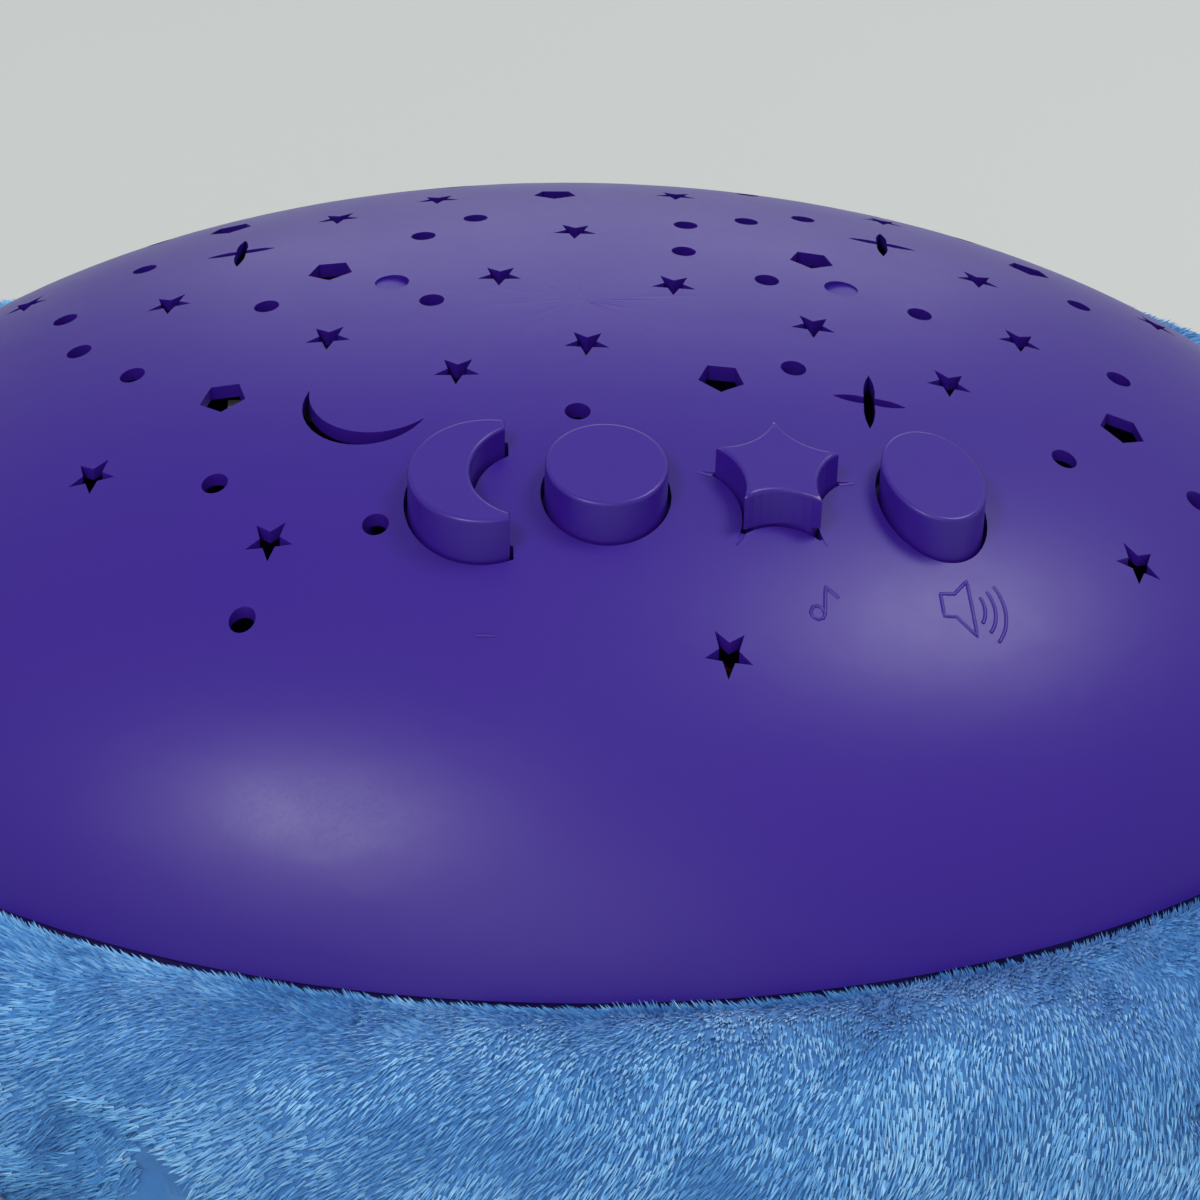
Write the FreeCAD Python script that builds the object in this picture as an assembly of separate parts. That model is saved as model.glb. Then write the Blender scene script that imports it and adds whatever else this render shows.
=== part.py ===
import FreeCAD, Part
import math
import os

# Star night light: a perforated plastic dome on a stuffed turtle.
# Millimetres, +Z up. The head points to -X and the row of buttons faces -Y.
# Shapes are drawn about the dome's own axis and moved by origin_shift when
# written, so that the origin is the bottom centre of the whole toy.

V = FreeCAD.Vector
os.makedirs("parts", exist_ok=True)

# Dome
dome_half_x = 106.0
dome_half_y = 83.5
dome_rise = 40.8
dome_wall = 2.0
crown_handle = 46.2
rim_handle_in = 9.6
rim_handle_up = 22.2
rim_z = 58.0

# Cut-outs through the dome
dot_radius = 1.5
star_radius = 2.8
star_waist = 0.42
pentagon_radius = 2.8
sparkle_long = 5.2
sparkle_short = 4.3
sparkle_waist = 0.9
figure_turn = -95.0
dimple_radius = 2.05
dimple_depth = 0.5

# Buttons
button_height = 4.0
button_tilt_share = 0.66
button_gap = 0.45
button_flange = 1.4
button_flange_thickness = 1.2
button_flange_drop = 0.75
button_round = 0.45
plunger_radius = 2.6
plunger_z = 86.0
pad_foot_radius = 4.2
board_thickness = 1.6

# Base tray
tray_top_half_x = 98.0
tray_top_half_y = 76.0
tray_foot_half_x = 84.0
tray_foot_half_y = 62.0
tray_foot_z = 4.0
tray_floor = 4.0
tray_wall = 2.0
flange_half_x = 105.4
flange_half_y = 82.9
flange_thickness = 2.4
upstand_height = 3.5
upstand_inset = 2.6
upstand_wall = 1.5

# Case screws stand on an ellipse round the dome's axis
post_half_x = 76.0
post_half_y = 53.0
post_angles = (22, 90, 158, 202, 270, 338)
post_radius = 4.0
screw_shank = 1.4
screw_head = 2.8
screw_slack = 0.05
case_screw_head_z = 46.0
case_screw_tip_z = 68.0

# Battery compartment and its door
battery_radius = 5.2
battery_length = 44.5
battery_pitch = 11.4
bay_half_x = 29.0
bay_half_y = 18.5
bay_roof_z = 20.0
bay_wall = 2.0
door_hinge_end_x = -32.0
door_screw_end_x = 41.0
door_half_y = 21.5
door_thickness = 2.0
door_gap = 0.3
door_edge_round = 0.8
tongue_reach = 2.6
tongue_half_width = 4.0
tongue_y = 11.0
door_screw_x = 33.5
door_well_radius = 1.5

# Lamp bracket
bracket_x = -16.5
bracket_half_x = 24.5
bracket_front_y = 4.3
bracket_depth = 22.0
bracket_top_z = 88.0
bracket_skirt = 8.0
ear_thickness = 1.2
ear_boxes = ((-20.0, 3.0, -14.0, -2.5, 91.6), (-42.2, -37.0, -17.0, -9.0, 90.6))
lamp_pitch = 9.0
lamp_radius = 1.5

# Speaker
speaker_x = 52.0
speaker_radius = 20.0
speaker_face_z = 26.0

# Stuffed turtle
body_half_x = 132.0
body_half_y = 108.0
body_top_z = rim_z - 0.8
rim_clear = 0.4
body_top_round = 22.0
sink = 0.5
pocket_gap = 0.5
head_tip_x = -186.0
tail_tip_x = 156.0
origin_shift = -(head_tip_x + tail_tip_x) / 2.0

far = 200.0


def write(name, shape):
    moved = shape.copy()
    moved.translate(V(origin_shift, 0, 0))
    moved.exportStep("parts/" + name + ".step")
    print(name, "solids", len(moved.Solids), "valid", moved.isValid(), "mm3", round(moved.Volume))


def cylinder(x, y, radius, z0, z1):
    return Part.makeCylinder(radius, z1 - z0, V(x, y, z0))


def block(x0, x1, y0, y1, z0, z1):
    return Part.makeBox(x1 - x0, y1 - y0, z1 - z0, V(x0, y0, z0))


def rounded_block(x0, x1, y0, y1, z0, z1, radius):
    solid = block(x0, x1, y0, y1, z0, z1)
    upright = [e for e in solid.Edges if abs(e.Vertexes[0].Z - e.Vertexes[-1].Z) > 0.5 * (z1 - z0)]
    return solid.makeFillet(radius, upright)


def prism(face, z0, z1):
    low = face.copy()
    low.translate(V(0, 0, z0))
    return low.extrude(V(0, 0, z1 - z0))


def oval_plate(half_x, half_y, z0, z1):
    outline = Part.Wire(Part.Ellipse(V(0, 0, z0), half_x, half_y).toShape())
    return Part.Face(outline).extrude(V(0, 0, z1 - z0))


def oval_cone(low_x, low_y, z0, high_x, high_y, z1):
    low = Part.Wire(Part.Ellipse(V(0, 0, z0), low_x, low_y).toShape())
    high = Part.Wire(Part.Ellipse(V(0, 0, z1), high_x, high_y).toShape())
    return Part.makeLoft([low, high], True, True)


def squash_round(solid, half_x, half_y):
    # A turned solid becomes an oval one.
    matrix = FreeCAD.Matrix()
    matrix.scale(V(half_x / half_y, 1, 1))
    return solid.transformGeometry(matrix)


def post_places():
    places = []
    for angle in post_angles:
        turn = math.radians(angle)
        places.append((post_half_x * math.cos(turn), post_half_y * math.sin(turn)))
    return places


# Dome form

def dome_poles(inset):
    radius = dome_half_y - inset
    crown_z = rim_z + dome_rise - inset
    return [
        (0.0, crown_z),
        (crown_handle, crown_z),
        (radius - rim_handle_in, rim_z + rim_handle_up),
        (radius, rim_z),
    ]


def dome_height(x, y):
    # Height of the outer skin above a point of the plan.
    reach = math.hypot(x * dome_half_y / dome_half_x, y)
    poles = dome_poles(0.0)
    low, high = 0.0, 1.0
    for _ in range(40):
        t = 0.5 * (low + high)
        weights = ((1 - t) ** 3, 3 * t * (1 - t) ** 2, 3 * t * t * (1 - t), t ** 3)
        at = sum(w * p[0] for w, p in zip(weights, poles))
        if at < reach:
            low = t
        else:
            high = t
    return sum(w * p[1] for w, p in zip(weights, poles))


def dome_normal(x, y, share):
    # Upward normal of a plane that leans by a share of the skin's own slope.
    step = 0.5
    slope_x = (dome_height(x + step, y) - dome_height(x - step, y)) / (2 * step)
    slope_y = (dome_height(x, y + step) - dome_height(x, y - step)) / (2 * step)
    return V(-slope_x * share, -slope_y * share, 1).normalize()


def dome_curve(inset):
    curve = Part.BezierCurve()
    curve.setPoles([V(r, 0, z) for r, z in dome_poles(inset)])
    return curve


def dome_outer():
    skin = dome_curve(0.0).toShape()
    inward = Part.makeLine(V(dome_half_y, 0, rim_z), V(0, 0, rim_z))
    axis = Part.makeLine(V(0, 0, rim_z), V(0, 0, rim_z + dome_rise))
    face = Part.Face(Part.Wire([skin, inward, axis]))
    turned = face.revolve(V(0, 0, 0), V(0, 0, 1), 360)
    return squash_round(turned, dome_half_x, dome_half_y)


def dome_hollow():
    radius = dome_half_y - dome_wall
    low_z = rim_z - 3
    skin = dome_curve(dome_wall).toShape()
    down = Part.makeLine(V(radius, 0, rim_z), V(radius, 0, low_z))
    inward = Part.makeLine(V(radius, 0, low_z), V(0, 0, low_z))
    axis = Part.makeLine(V(0, 0, low_z), V(0, 0, rim_z + dome_rise - dome_wall))
    face = Part.Face(Part.Wire([skin, down, inward, axis]))
    turned = face.revolve(V(0, 0, 0), V(0, 0, 1), 360)
    return squash_round(turned, dome_half_x - dome_wall, radius)


# Cut-out figures, each a flat face at z = 0

def corner_figure(x, y, radii, turn):
    count = len(radii)
    points = []
    for i, radius in enumerate(radii):
        angle = math.radians(turn + 360.0 * i / count)
        points.append(V(x + radius * math.cos(angle), y + radius * math.sin(angle), 0))
    return Part.Face(Part.makePolygon(points + points[:1]))


def dot_figure(x, y):
    return Part.Face(Part.Wire(Part.Circle(V(x, y, 0), V(0, 0, 1), dot_radius).toShape()))


def star_figure(x, y):
    return corner_figure(x, y, [star_radius, star_radius * star_waist] * 5, figure_turn)


def pentagon_figure(x, y):
    return corner_figure(x, y, [pentagon_radius] * 5, figure_turn)


def sparkle_figure(x, y):
    # Four lens-shaped arms, the two along Y longer.
    turn = math.radians(figure_turn)
    reach = (sparkle_long, sparkle_short, sparkle_long, sparkle_short)
    edges = []
    for i in range(4):
        tip_angle = turn + i * math.pi / 2
        tip = V(x + reach[i] * math.cos(tip_angle), y + reach[i] * math.sin(tip_angle), 0)
        for side in (-1, 1):
            notch_angle = tip_angle + side * math.pi / 4
            notch = V(
                x + sparkle_waist * math.cos(notch_angle),
                y + sparkle_waist * math.sin(notch_angle),
                0,
            )
            mid = (tip + notch) * 0.5
            across = V(-math.sin(tip_angle), math.cos(tip_angle), 0) * (0.28 * side)
            ends = (notch, mid + across, tip) if side < 0 else (tip, mid + across, notch)
            edges.append(Part.Arc(*ends).toShape())
    return Part.Face(Part.Wire(edges))


def crescent_figure():
    outer = Part.Face(Part.Wire(Part.Circle(V(-26.0, -19.6, 0), V(0, 0, 1), 7.5).toShape()))
    inner = Part.Face(Part.Wire(Part.Circle(V(-24.6, -17.1, 0), V(0, 0, 1), 8.1).toShape()))
    return outer.cut(inner).Faces[0]


dots = (
    (-53.4, -6), (-43.4, -29.6), (-2.1, -23.6), (-25.4, -39.5), (-40.2, -48.8), (64.4, -2.6),
    (23.6, -13.9), (54.6, -23.1), (71, -22.8), (-62.3, 14.3), (-60.1, 3.3), (-37.7, 4.5),
    (-18.1, 1.4), (-53, 25.6), (-18.6, 21), (-12, 26.8), (22.4, 7), (12.9, 14.3), (13.9, 23.8),
    (21.8, 27.2), (29.4, 31.4), (40.5, 2.4), (62.8, 17.8), (-52, 44), (-6, 53), (24, 47),
    (52, 42), (-28, 56), (36, 57), (6, 66), (-76, 12), (80, 6),
)
stars = (
    (-30.4, -5.3), (-15.6, -14.9), (-0.3, -10), (-57.5, -23.6), (-37.2, -39.5), (26.9, -4.1),
    (52.5, 0.3), (42.1, -13.1), (61.6, -36.4), (12.9, -57), (-49.4, 10.3), (-9.8, 7),
    (-67.8, 26.9), (0, 20.6), (-28.9, 32.6), (-16.3, 38), (10.9, 4.3), (49.7, 16.9),
    (13.9, 39), (40.6, 39), (74, 23.8), (-40, 50), (12, 57), (-16, 65), (60, 50), (28, 67),
)
pentagons = (
    (-42.6, -14.7), (14.9, -16.8), (62.9, -14.1), (-30, 12.2), (28.6, 14.5), (-42.5, 37.8),
    (-1.5, 38), (58.1, 28.8), (-14, 52),
)
sparkles = ((32, -19), (38.6, 24.5), (-41, 23.5), (42, 50))
dimples = ((31.4, 6.6), (-22.7, 7))


def dome_cutters():
    faces = [dot_figure(*p) for p in dots]
    faces += [star_figure(*p) for p in stars]
    faces += [pentagon_figure(*p) for p in pentagons]
    faces += [sparkle_figure(*p) for p in sparkles]
    faces.append(crescent_figure())
    faces += [button_outline(kind, button_gap) for kind in button_places]
    solids = [prism(face, rim_z + 1, rim_z + dome_rise + 5) for face in faces]
    for x, y in dimples:
        floor = dome_height(x, y) - dimple_depth
        solids.append(cylinder(x, y, dimple_radius, floor, floor + 5))
    return solids


# Button outlines, each grown by a margin, as a flat face at z = 0

button_places = {
    "moon": (-16.6, -37.3),
    "round": (0.4, -37.1),
    "star": (19.8, -36.2),
    "oval": (37.5, -35.2),
}
moon_radius = 8.6
moon_bite_radius = 7.8
round_radius = 6.9
star_tip_radius = 8.2
star_valley_radius = 4.4
star_tip_round = 0.8
oval_half_long = 7.5
oval_half_wide = 5.8
oval_turn = 102.0


def moon_outline(x, y, grow):
    outer_centre = V(x + 3.4, y, 0)
    bite_centre = V(x + 9.5, y - 0.2, 0)
    cut_x = x + 5.9 + grow
    outer = Part.Face(Part.Wire(Part.Circle(outer_centre, V(0, 0, 1), moon_radius + grow).toShape()))
    bite = Part.Face(Part.Wire(Part.Circle(bite_centre, V(0, 0, 1), moon_bite_radius - grow).toShape()))
    corner = V(cut_x - 30, y - 30, 0)
    window = Part.makePlane(30, 60, corner)
    return outer.common(window).cut(bite).Faces[0]


def star_outline(x, y, grow):
    edges = []
    tips = []
    valleys = []
    for i in range(5):
        tip_angle = math.radians(90 + 72 * i)
        valley_angle = tip_angle + math.radians(36)
        reach = star_tip_radius + 1.3 * grow
        waist = star_valley_radius + grow
        tips.append(V(x + reach * math.cos(tip_angle), y + reach * math.sin(tip_angle), 0))
        valleys.append(V(x + waist * math.cos(valley_angle), y + waist * math.sin(valley_angle), 0))
    for i in range(5):
        edges.append(Part.Arc(tips[i], valleys[i], tips[(i + 1) % 5]).toShape())
    return Part.Face(Part.Wire(edges))


def button_outline(kind, grow):
    x, y = button_places[kind]
    if kind == "moon":
        return moon_outline(x, y, grow)
    if kind == "star":
        return star_outline(x, y, grow)
    if kind == "round":
        circle = Part.Circle(V(x, y, 0), V(0, 0, 1), round_radius + grow)
        return Part.Face(Part.Wire(circle.toShape()))
    ellipse = Part.Ellipse(V(x, y, 0), oval_half_long + grow, oval_half_wide + grow).toShape()
    ellipse.rotate(V(x, y, 0), V(0, 0, 1), oval_turn)
    return Part.Face(Part.Wire(ellipse))


def half_space(point, normal):
    # Everything below a tilted plane, as a large block.
    solid = Part.makeBox(80, 80, 80, V(-40, -40, -80))
    solid.Placement = FreeCAD.Placement(point, FreeCAD.Rotation(V(0, 0, 1), normal))
    return solid


def round_star_tips(solid, x, y):
    reach = 0.9 * star_tip_radius
    tips = []
    for edge in solid.Edges:
        a, b = edge.Vertexes[0].Point, edge.Vertexes[-1].Point
        upright = math.hypot(a.x - b.x, a.y - b.y) < 0.01 and abs(a.z - b.z) > 1
        if upright and math.hypot(a.x - x, a.y - y) > reach:
            tips.append(edge)
    return solid.makeFillet(star_tip_round, tips)


def on_plane(edge, point, normal):
    start, end = edge.FirstParameter, edge.LastParameter
    for share in (0.0, 0.5, 1.0):
        if abs((edge.valueAt(start + share * (end - start)) - point).dot(normal)) > 0.01:
            return False
    return True


def button(kind):
    x, y = button_places[kind]
    skin = V(x, y, dome_height(x, y))
    slope = dome_normal(x, y, 1.0)
    lean = dome_normal(x, y, button_tilt_share)
    top = skin + V(0, 0, button_height)
    flange_top = skin - V(0, 0, dome_wall + button_flange_drop)
    flange_low = flange_top - V(0, 0, button_flange_thickness)
    stem = prism(button_outline(kind, 0.0), 70, 110)
    if kind == "star":
        stem = round_star_tips(stem, x, y)
    stem = stem.common(half_space(top, lean))
    stem = stem.makeFillet(button_round, [e for e in stem.Edges if on_plane(e, top, lean)])
    below = half_space(flange_low, slope)
    stem = stem.cut(below)
    flange = prism(button_outline(kind, button_flange), 70, 110)
    flange = flange.common(half_space(flange_top, slope)).cut(below)
    plunger = cylinder(x, y, plunger_radius, plunger_z, skin.z - dome_wall)
    if kind == "moon":
        plunger.translate(V(-1.2, 0, 0))
    return stem.fuse([flange, plunger]).removeSplitter()


def button_pad(kind):
    # A rubber dome that returns the button.
    x, y = button_places[kind]
    if kind == "moon":
        x -= 1.2
    foot_z = board_top_z
    cone = Part.makeCone(pad_foot_radius, plunger_radius, plunger_z - foot_z, V(x, y, foot_z))
    hollow = Part.makeCone(pad_foot_radius - 1, plunger_radius - 1, 3.0, V(x, y, foot_z))
    return cone.cut(hollow)


board_top_z = 81.6
board_ends_x = (-28.5, 49.0)
board_row_y = -36.4


def button_board():
    y0, y1 = board_row_y - 8, board_row_y + 8
    z0 = board_top_z - board_thickness
    plate = rounded_block(board_ends_x[0] - 4, board_ends_x[1] + 4, y0, y1, z0, board_top_z, 2.0)
    for x in board_ends_x:
        plate = plate.cut(cylinder(x, board_row_y, screw_shank + screw_slack, z0 - 1, board_top_z + 1))
    return plate


def star_dome():
    hollow = dome_hollow()
    bosses = [cylinder(x, y, post_radius, rim_z, rim_z + dome_rise) for x, y in post_places()]
    bosses += [cylinder(x, board_row_y, 3.0, board_top_z, rim_z + dome_rise) for x in board_ends_x]
    shell = dome_outer().cut(hollow.cut(bosses))
    shell = shell.cut(dome_cutters())
    pilot = screw_shank + screw_slack
    holes = [cylinder(x, y, pilot, rim_z - 1, case_screw_tip_z + 0.5) for x, y in post_places()]
    holes += [cylinder(x, board_row_y, pilot, board_top_z - 1, board_top_z + 5) for x in board_ends_x]
    return shell.cut(holes)


# Tray, door and what they hold

door_low_z = tray_foot_z
door_high_z = tray_foot_z + door_thickness
floor_z = tray_foot_z + tray_floor
main_board_x = -50.0
main_board_z = 16.0
main_board_half = (14.5, 30.0)


def base_tray():
    flange_z = rim_z - flange_thickness
    outer = oval_cone(
        tray_foot_half_x, tray_foot_half_y, tray_foot_z, tray_top_half_x, tray_top_half_y, rim_z
    )
    flange = oval_plate(flange_half_x, flange_half_y, flange_z, rim_z)
    upstand_x = dome_half_x - dome_wall - upstand_inset
    upstand_y = dome_half_y - dome_wall - upstand_inset
    upstand = oval_plate(upstand_x, upstand_y, rim_z, rim_z + upstand_height)
    upstand = upstand.cut(
        oval_plate(upstand_x - upstand_wall, upstand_y - upstand_wall, rim_z, rim_z + upstand_height)
    )
    inner = oval_cone(
        tray_foot_half_x - tray_wall,
        tray_foot_half_y - tray_wall,
        floor_z,
        tray_top_half_x - tray_wall,
        tray_top_half_y - tray_wall,
        rim_z + 0.01,
    )
    bay = block(
        -bay_half_x - bay_wall, bay_half_x + bay_wall,
        -bay_half_y - bay_wall, bay_half_y + bay_wall,
        floor_z - 1, bay_roof_z + bay_wall,
    )
    posts = [cylinder(x, y, post_radius, floor_z - 1, rim_z) for x, y in post_places()]
    posts.append(cylinder(door_screw_x, 0, 3.4, floor_z - 1, floor_z + 6))
    for x, y in board_screw_places():
        posts.append(cylinder(x, y, 2.8, floor_z - 1, main_board_z))
    for x, y in speaker_screw_places():
        posts.append(cylinder(x, y, 2.6, floor_z - 1, speaker_face_z - 2))
    tray = outer.fuse(flange).fuse(upstand).cut(inner.cut(posts + [bay]))
    cavity = block(-bay_half_x, bay_half_x, -bay_half_y, bay_half_y, tray_foot_z - 1, bay_roof_z)
    recess = rounded_block(
        door_hinge_end_x - door_gap, door_screw_end_x + door_gap,
        -door_half_y - door_gap, door_half_y + door_gap,
        tray_foot_z - 1, door_high_z + door_gap, 3.0,
    )
    cuts = [cavity, recess]
    for side in (-1, 1):
        y = side * tongue_y
        half = tongue_half_width + 0.4
        slot_x = door_hinge_end_x - tongue_reach - 1.4
        cuts.append(block(slot_x, 0.1 - bay_half_x, y - half, y + half, tray_foot_z + 1.3, floor_z + 1.0))
    pilot = screw_shank + screw_slack
    for x, y in post_places():
        cuts.append(cylinder(x, y, pilot + 0.2, tray_foot_z - 1, rim_z + 1))
        cuts.append(cylinder(x, y, screw_head + 0.2, tray_foot_z - 1, case_screw_head_z))
    cuts.append(cylinder(door_screw_x, 0, door_well_radius, tray_foot_z - 1, floor_z + 5))
    for x, y in board_screw_places():
        cuts.append(cylinder(x, y, pilot, main_board_z - 5, main_board_z + 1))
    for x, y in bracket_screw_places():
        cuts.append(cylinder(x, y, pilot, bay_roof_z + 0.4, bay_roof_z + 5))
    for x, y in speaker_screw_places():
        cuts.append(cylinder(x, y, pilot, speaker_face_z - 8, speaker_face_z))
    return tray.cut(cuts)


def board_screw_places():
    places = []
    for sx in (-1, 1):
        for sy in (-1, 1):
            x = main_board_x + sx * (main_board_half[0] - 3.5)
            places.append((x, sy * (main_board_half[1] - 3.5)))
    return places


def bracket_screw_places():
    return [(bracket_x - 9, 14.0), (bracket_x + 9, 14.0)]


def speaker_screw_places():
    places = []
    for angle in (60, 120, 240, 300):
        turn = math.radians(angle)
        reach = speaker_radius + 1.5
        places.append((speaker_x + reach * math.cos(turn), reach * math.sin(turn)))
    return places


def screw(x, y, head_z, tip_z, head_radius):
    # A pan head below its shank when the tip is higher, above it when lower.
    up = 1 if tip_z > head_z else -1
    shank = Part.makeCylinder(screw_shank, abs(tip_z - head_z), V(x, y, min(head_z, tip_z)))
    thickness = 1.8
    head_low = head_z - thickness if up > 0 else head_z
    outer_z = head_low if up > 0 else head_low + thickness
    crown_radius = 0.75 * head_radius
    low_radius = crown_radius if up > 0 else head_radius
    high_radius = head_radius if up > 0 else crown_radius
    head = Part.makeCone(low_radius, high_radius, thickness, V(x, y, head_low))
    arm = 0.55 * head_radius
    cross_z0 = outer_z - 0.1 if up > 0 else outer_z - 0.9
    cross = block(x - arm, x + arm, y - 0.35, y + 0.35, cross_z0, cross_z0 + 1.0)
    cross = cross.fuse(block(x - 0.35, x + 0.35, y - arm, y + arm, cross_z0, cross_z0 + 1.0))
    return shank.fuse(head).cut(cross).removeSplitter()


def battery_door():
    plate = rounded_block(
        door_hinge_end_x, door_screw_end_x, -door_half_y, door_half_y, door_low_z, door_high_z, 3.0
    )
    # The rounded lower edge is what the door turns on.
    edge = [
        e for e in plate.Edges
        if abs(e.BoundBox.XMax - door_hinge_end_x) < 0.01 and abs(e.BoundBox.ZMax - door_low_z) < 0.01
    ]
    plate = plate.makeFillet(door_edge_round, edge)
    thickness = 1.2
    for side in (-1, 1):
        y = side * tongue_y
        z0 = door_high_z - 0.4
        tip_x = door_hinge_end_x - tongue_reach
        tongue = block(
            tip_x, door_hinge_end_x + 1, y - tongue_half_width, y + tongue_half_width, z0, z0 + thickness
        )
        plate = plate.fuse(tongue)
    grips = []
    for i in range(5):
        x = 12 + 3.2 * i
        grips.append(block(x, x + 1.4, -9, 9, door_low_z - 0.5, door_low_z + 0.5))
    plate = plate.cut(grips)
    head_well = cylinder(door_screw_x, 0, 2.9, door_low_z - 1, door_low_z + 1.2)
    shank_hole = cylinder(door_screw_x, 0, 1.05, door_low_z, door_high_z + 1)
    return plate.cut([head_well, shank_hole])


def door_screw():
    # Held captive in the door.
    x = door_screw_x
    z = door_low_z + 1.2
    shank = cylinder(x, 0, 1.0, z, z + 6.0)
    head = cylinder(x, 0, 2.7, z - 1.1, z)
    slot = block(x - 1.8, x + 1.8, -0.35, 0.35, z - 1.2, z - 0.5)
    slot = slot.fuse(block(x - 0.35, x + 0.35, -1.8, 1.8, z - 1.2, z - 0.5))
    return shank.fuse(head).cut(slot)


def batteries():
    cells = []
    z = door_high_z + 0.6 + battery_radius
    along = V(1, 0, 0)
    start = -battery_length / 2
    for i in (-1, 0, 1):
        y = i * battery_pitch
        can = Part.makeCylinder(battery_radius, battery_length - 1.6, V(start, y, z), along)
        shoulder = Part.makeCone(battery_radius, battery_radius - 0.7, 0.6, V(-start - 1.6, y, z), along)
        nub = Part.makeCylinder(1.9, 1.2, V(-start - 1.2, y, z), along)
        cell = can.fuse([shoulder, nub])
        if i == 0:
            cell.rotate(V(0, y, z), V(0, 0, 1), 180)
        cells.append(cell)
    return Part.makeCompound(cells)


def battery_contacts():
    # Sprung leaves at one end of each cell, flat plates at the other.
    leaves = []
    z0, z1 = door_high_z + 1.6, bay_roof_z - 1.4
    for i in (-1, 0, 1):
        y = i * battery_pitch
        for side in (-1, 1):
            wall = side * bay_half_x
            inner = wall - side * 0.5
            lo, hi = min(wall, inner), max(wall, inner)
            leaves.append(block(lo, hi, y - 4.2, y + 4.2, z0, z1))
            tip = side * battery_length / 2
            root = inner
            profile = [V(root, 0, z0), V(tip, 0, 0.5 * (z0 + z1)), V(root, 0, z1)]
            back = [V(root, 0, z1 - 0.5), V(tip + side * 0.5, 0, 0.5 * (z0 + z1)), V(root, 0, z0 + 0.5)]
            face = Part.Face(Part.makePolygon(profile + back + profile[:1]))
            bow = face.extrude(V(0, 6, 0))
            bow.translate(V(0, y - 3, 0))
            leaves.append(bow)
    return Part.makeCompound([leaves[i].fuse(leaves[i + 1]) for i in range(0, len(leaves), 2)])


def main_board():
    hx, hy = main_board_half
    z1 = main_board_z + board_thickness
    plate = rounded_block(main_board_x - hx, main_board_x + hx, -hy, hy, main_board_z, z1, 2.0)
    holes = [cylinder(x, y, screw_shank + screw_slack, 0, 60) for x, y in board_screw_places()]
    return plate.cut(holes)


def controller_chip():
    z = main_board_z + board_thickness
    body = block(main_board_x - 5, main_board_x + 5, -4, 4, z + 0.4, z + 2.4)
    legs = []
    for i in range(7):
        x = main_board_x - 4.2 + 1.4 * i
        for side in (-1, 1):
            y = side * 4
            legs.append(block(x - 0.25, x + 0.25, min(y, y + side * 1.5), max(y, y + side * 1.5), z, z + 0.8))
    return body.fuse(legs)


def supply_capacitors():
    z = main_board_z + board_thickness
    cans = []
    for x, y, radius, height in ((-8, 14, 3.2, 8.0), (6, 14, 3.2, 8.0), (-7, -14, 2.5, 6.0)):
        cans.append(cylinder(main_board_x + x, y, radius, z, z + height))
    return Part.makeCompound(cans)


def lamp_bracket():
    x0, x1 = bracket_x - bracket_half_x, bracket_x + bracket_half_x
    y0, y1 = bracket_front_y, bracket_front_y + bracket_depth
    low_z = bracket_top_z - bracket_skirt
    cradle = rounded_block(x0, x1, y0, y1, low_z, bracket_top_z, 3.0)
    seat = rounded_block(
        x0 + 1.2, x1 - 1.2, y0 + 1.2, y1 - 1.2,
        bracket_top_z - board_thickness, bracket_top_z + 1, 2.0,
    )
    under = rounded_block(x0 + 1.5, x1 - 1.5, y0 + 1.5, y1 - 1.5, low_z - 1, bracket_top_z - 3.2, 1.5)
    cradle = cradle.cut([seat, under])
    foot_z = bay_roof_z + bay_wall
    column = block(bracket_x - 4, bracket_x + 4, 12.5, 15.5, foot_z, bracket_top_z - 3)
    for side in (-1, 1):
        cx = bracket_x + side * 3.25
        column = column.fuse(block(cx - 0.75, cx + 0.75, 9.5, 18.5, foot_z, bracket_top_z - 3))
    foot = rounded_block(bracket_x - 13, bracket_x + 13, 8.5, 19.5, foot_z, foot_z + 2, 2.0)
    holes = [cylinder(x, y, screw_shank + screw_slack, 0, 40) for x, y in bracket_screw_places()]
    return cradle.fuse([column, foot] + steadying_ears(y0)).cut(holes).removeSplitter()


def steadying_ears(cradle_y):
    # White ears close under the dome, each on an upright web from the cradle.
    solids = []
    for x0, x1, y0, y1, top_z in ear_boxes:
        solids.append(block(x0, x1, y0, y1, top_z - ear_thickness, top_z))
        middle = 0.5 * (max(x0, bracket_x - bracket_half_x) + x1)
        web_low_z = bracket_top_z - 0.7 * bracket_skirt
        solids.append(block(middle - 0.7, middle + 0.7, y0 + 2, cradle_y + 1, web_low_z, top_z - 0.5))
    return solids


def lamp_board():
    x0, x1 = bracket_x - bracket_half_x + 1.4, bracket_x + bracket_half_x - 1.4
    y0, y1 = bracket_front_y + 1.4, bracket_front_y + bracket_depth - 1.4
    z0 = bracket_top_z - board_thickness
    return rounded_block(x0, x1, y0, y1, z0, bracket_top_z, 1.8)


def lamp(order):
    # A three millimetre light-emitting diode, standing on its board.
    x = bracket_x + order * lamp_pitch
    y = bracket_front_y + 0.5 * bracket_depth
    z = bracket_top_z
    collar = cylinder(x, y, lamp_radius + 0.35, z, z + 1.0)
    straight = cylinder(x, y, lamp_radius, z, z + 3.2)
    crown = Part.makeSphere(lamp_radius, V(x, y, z + 3.2), V(0, 0, 1), 0, 90, 360)
    return collar.fuse([straight, crown]).removeSplitter()


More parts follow.
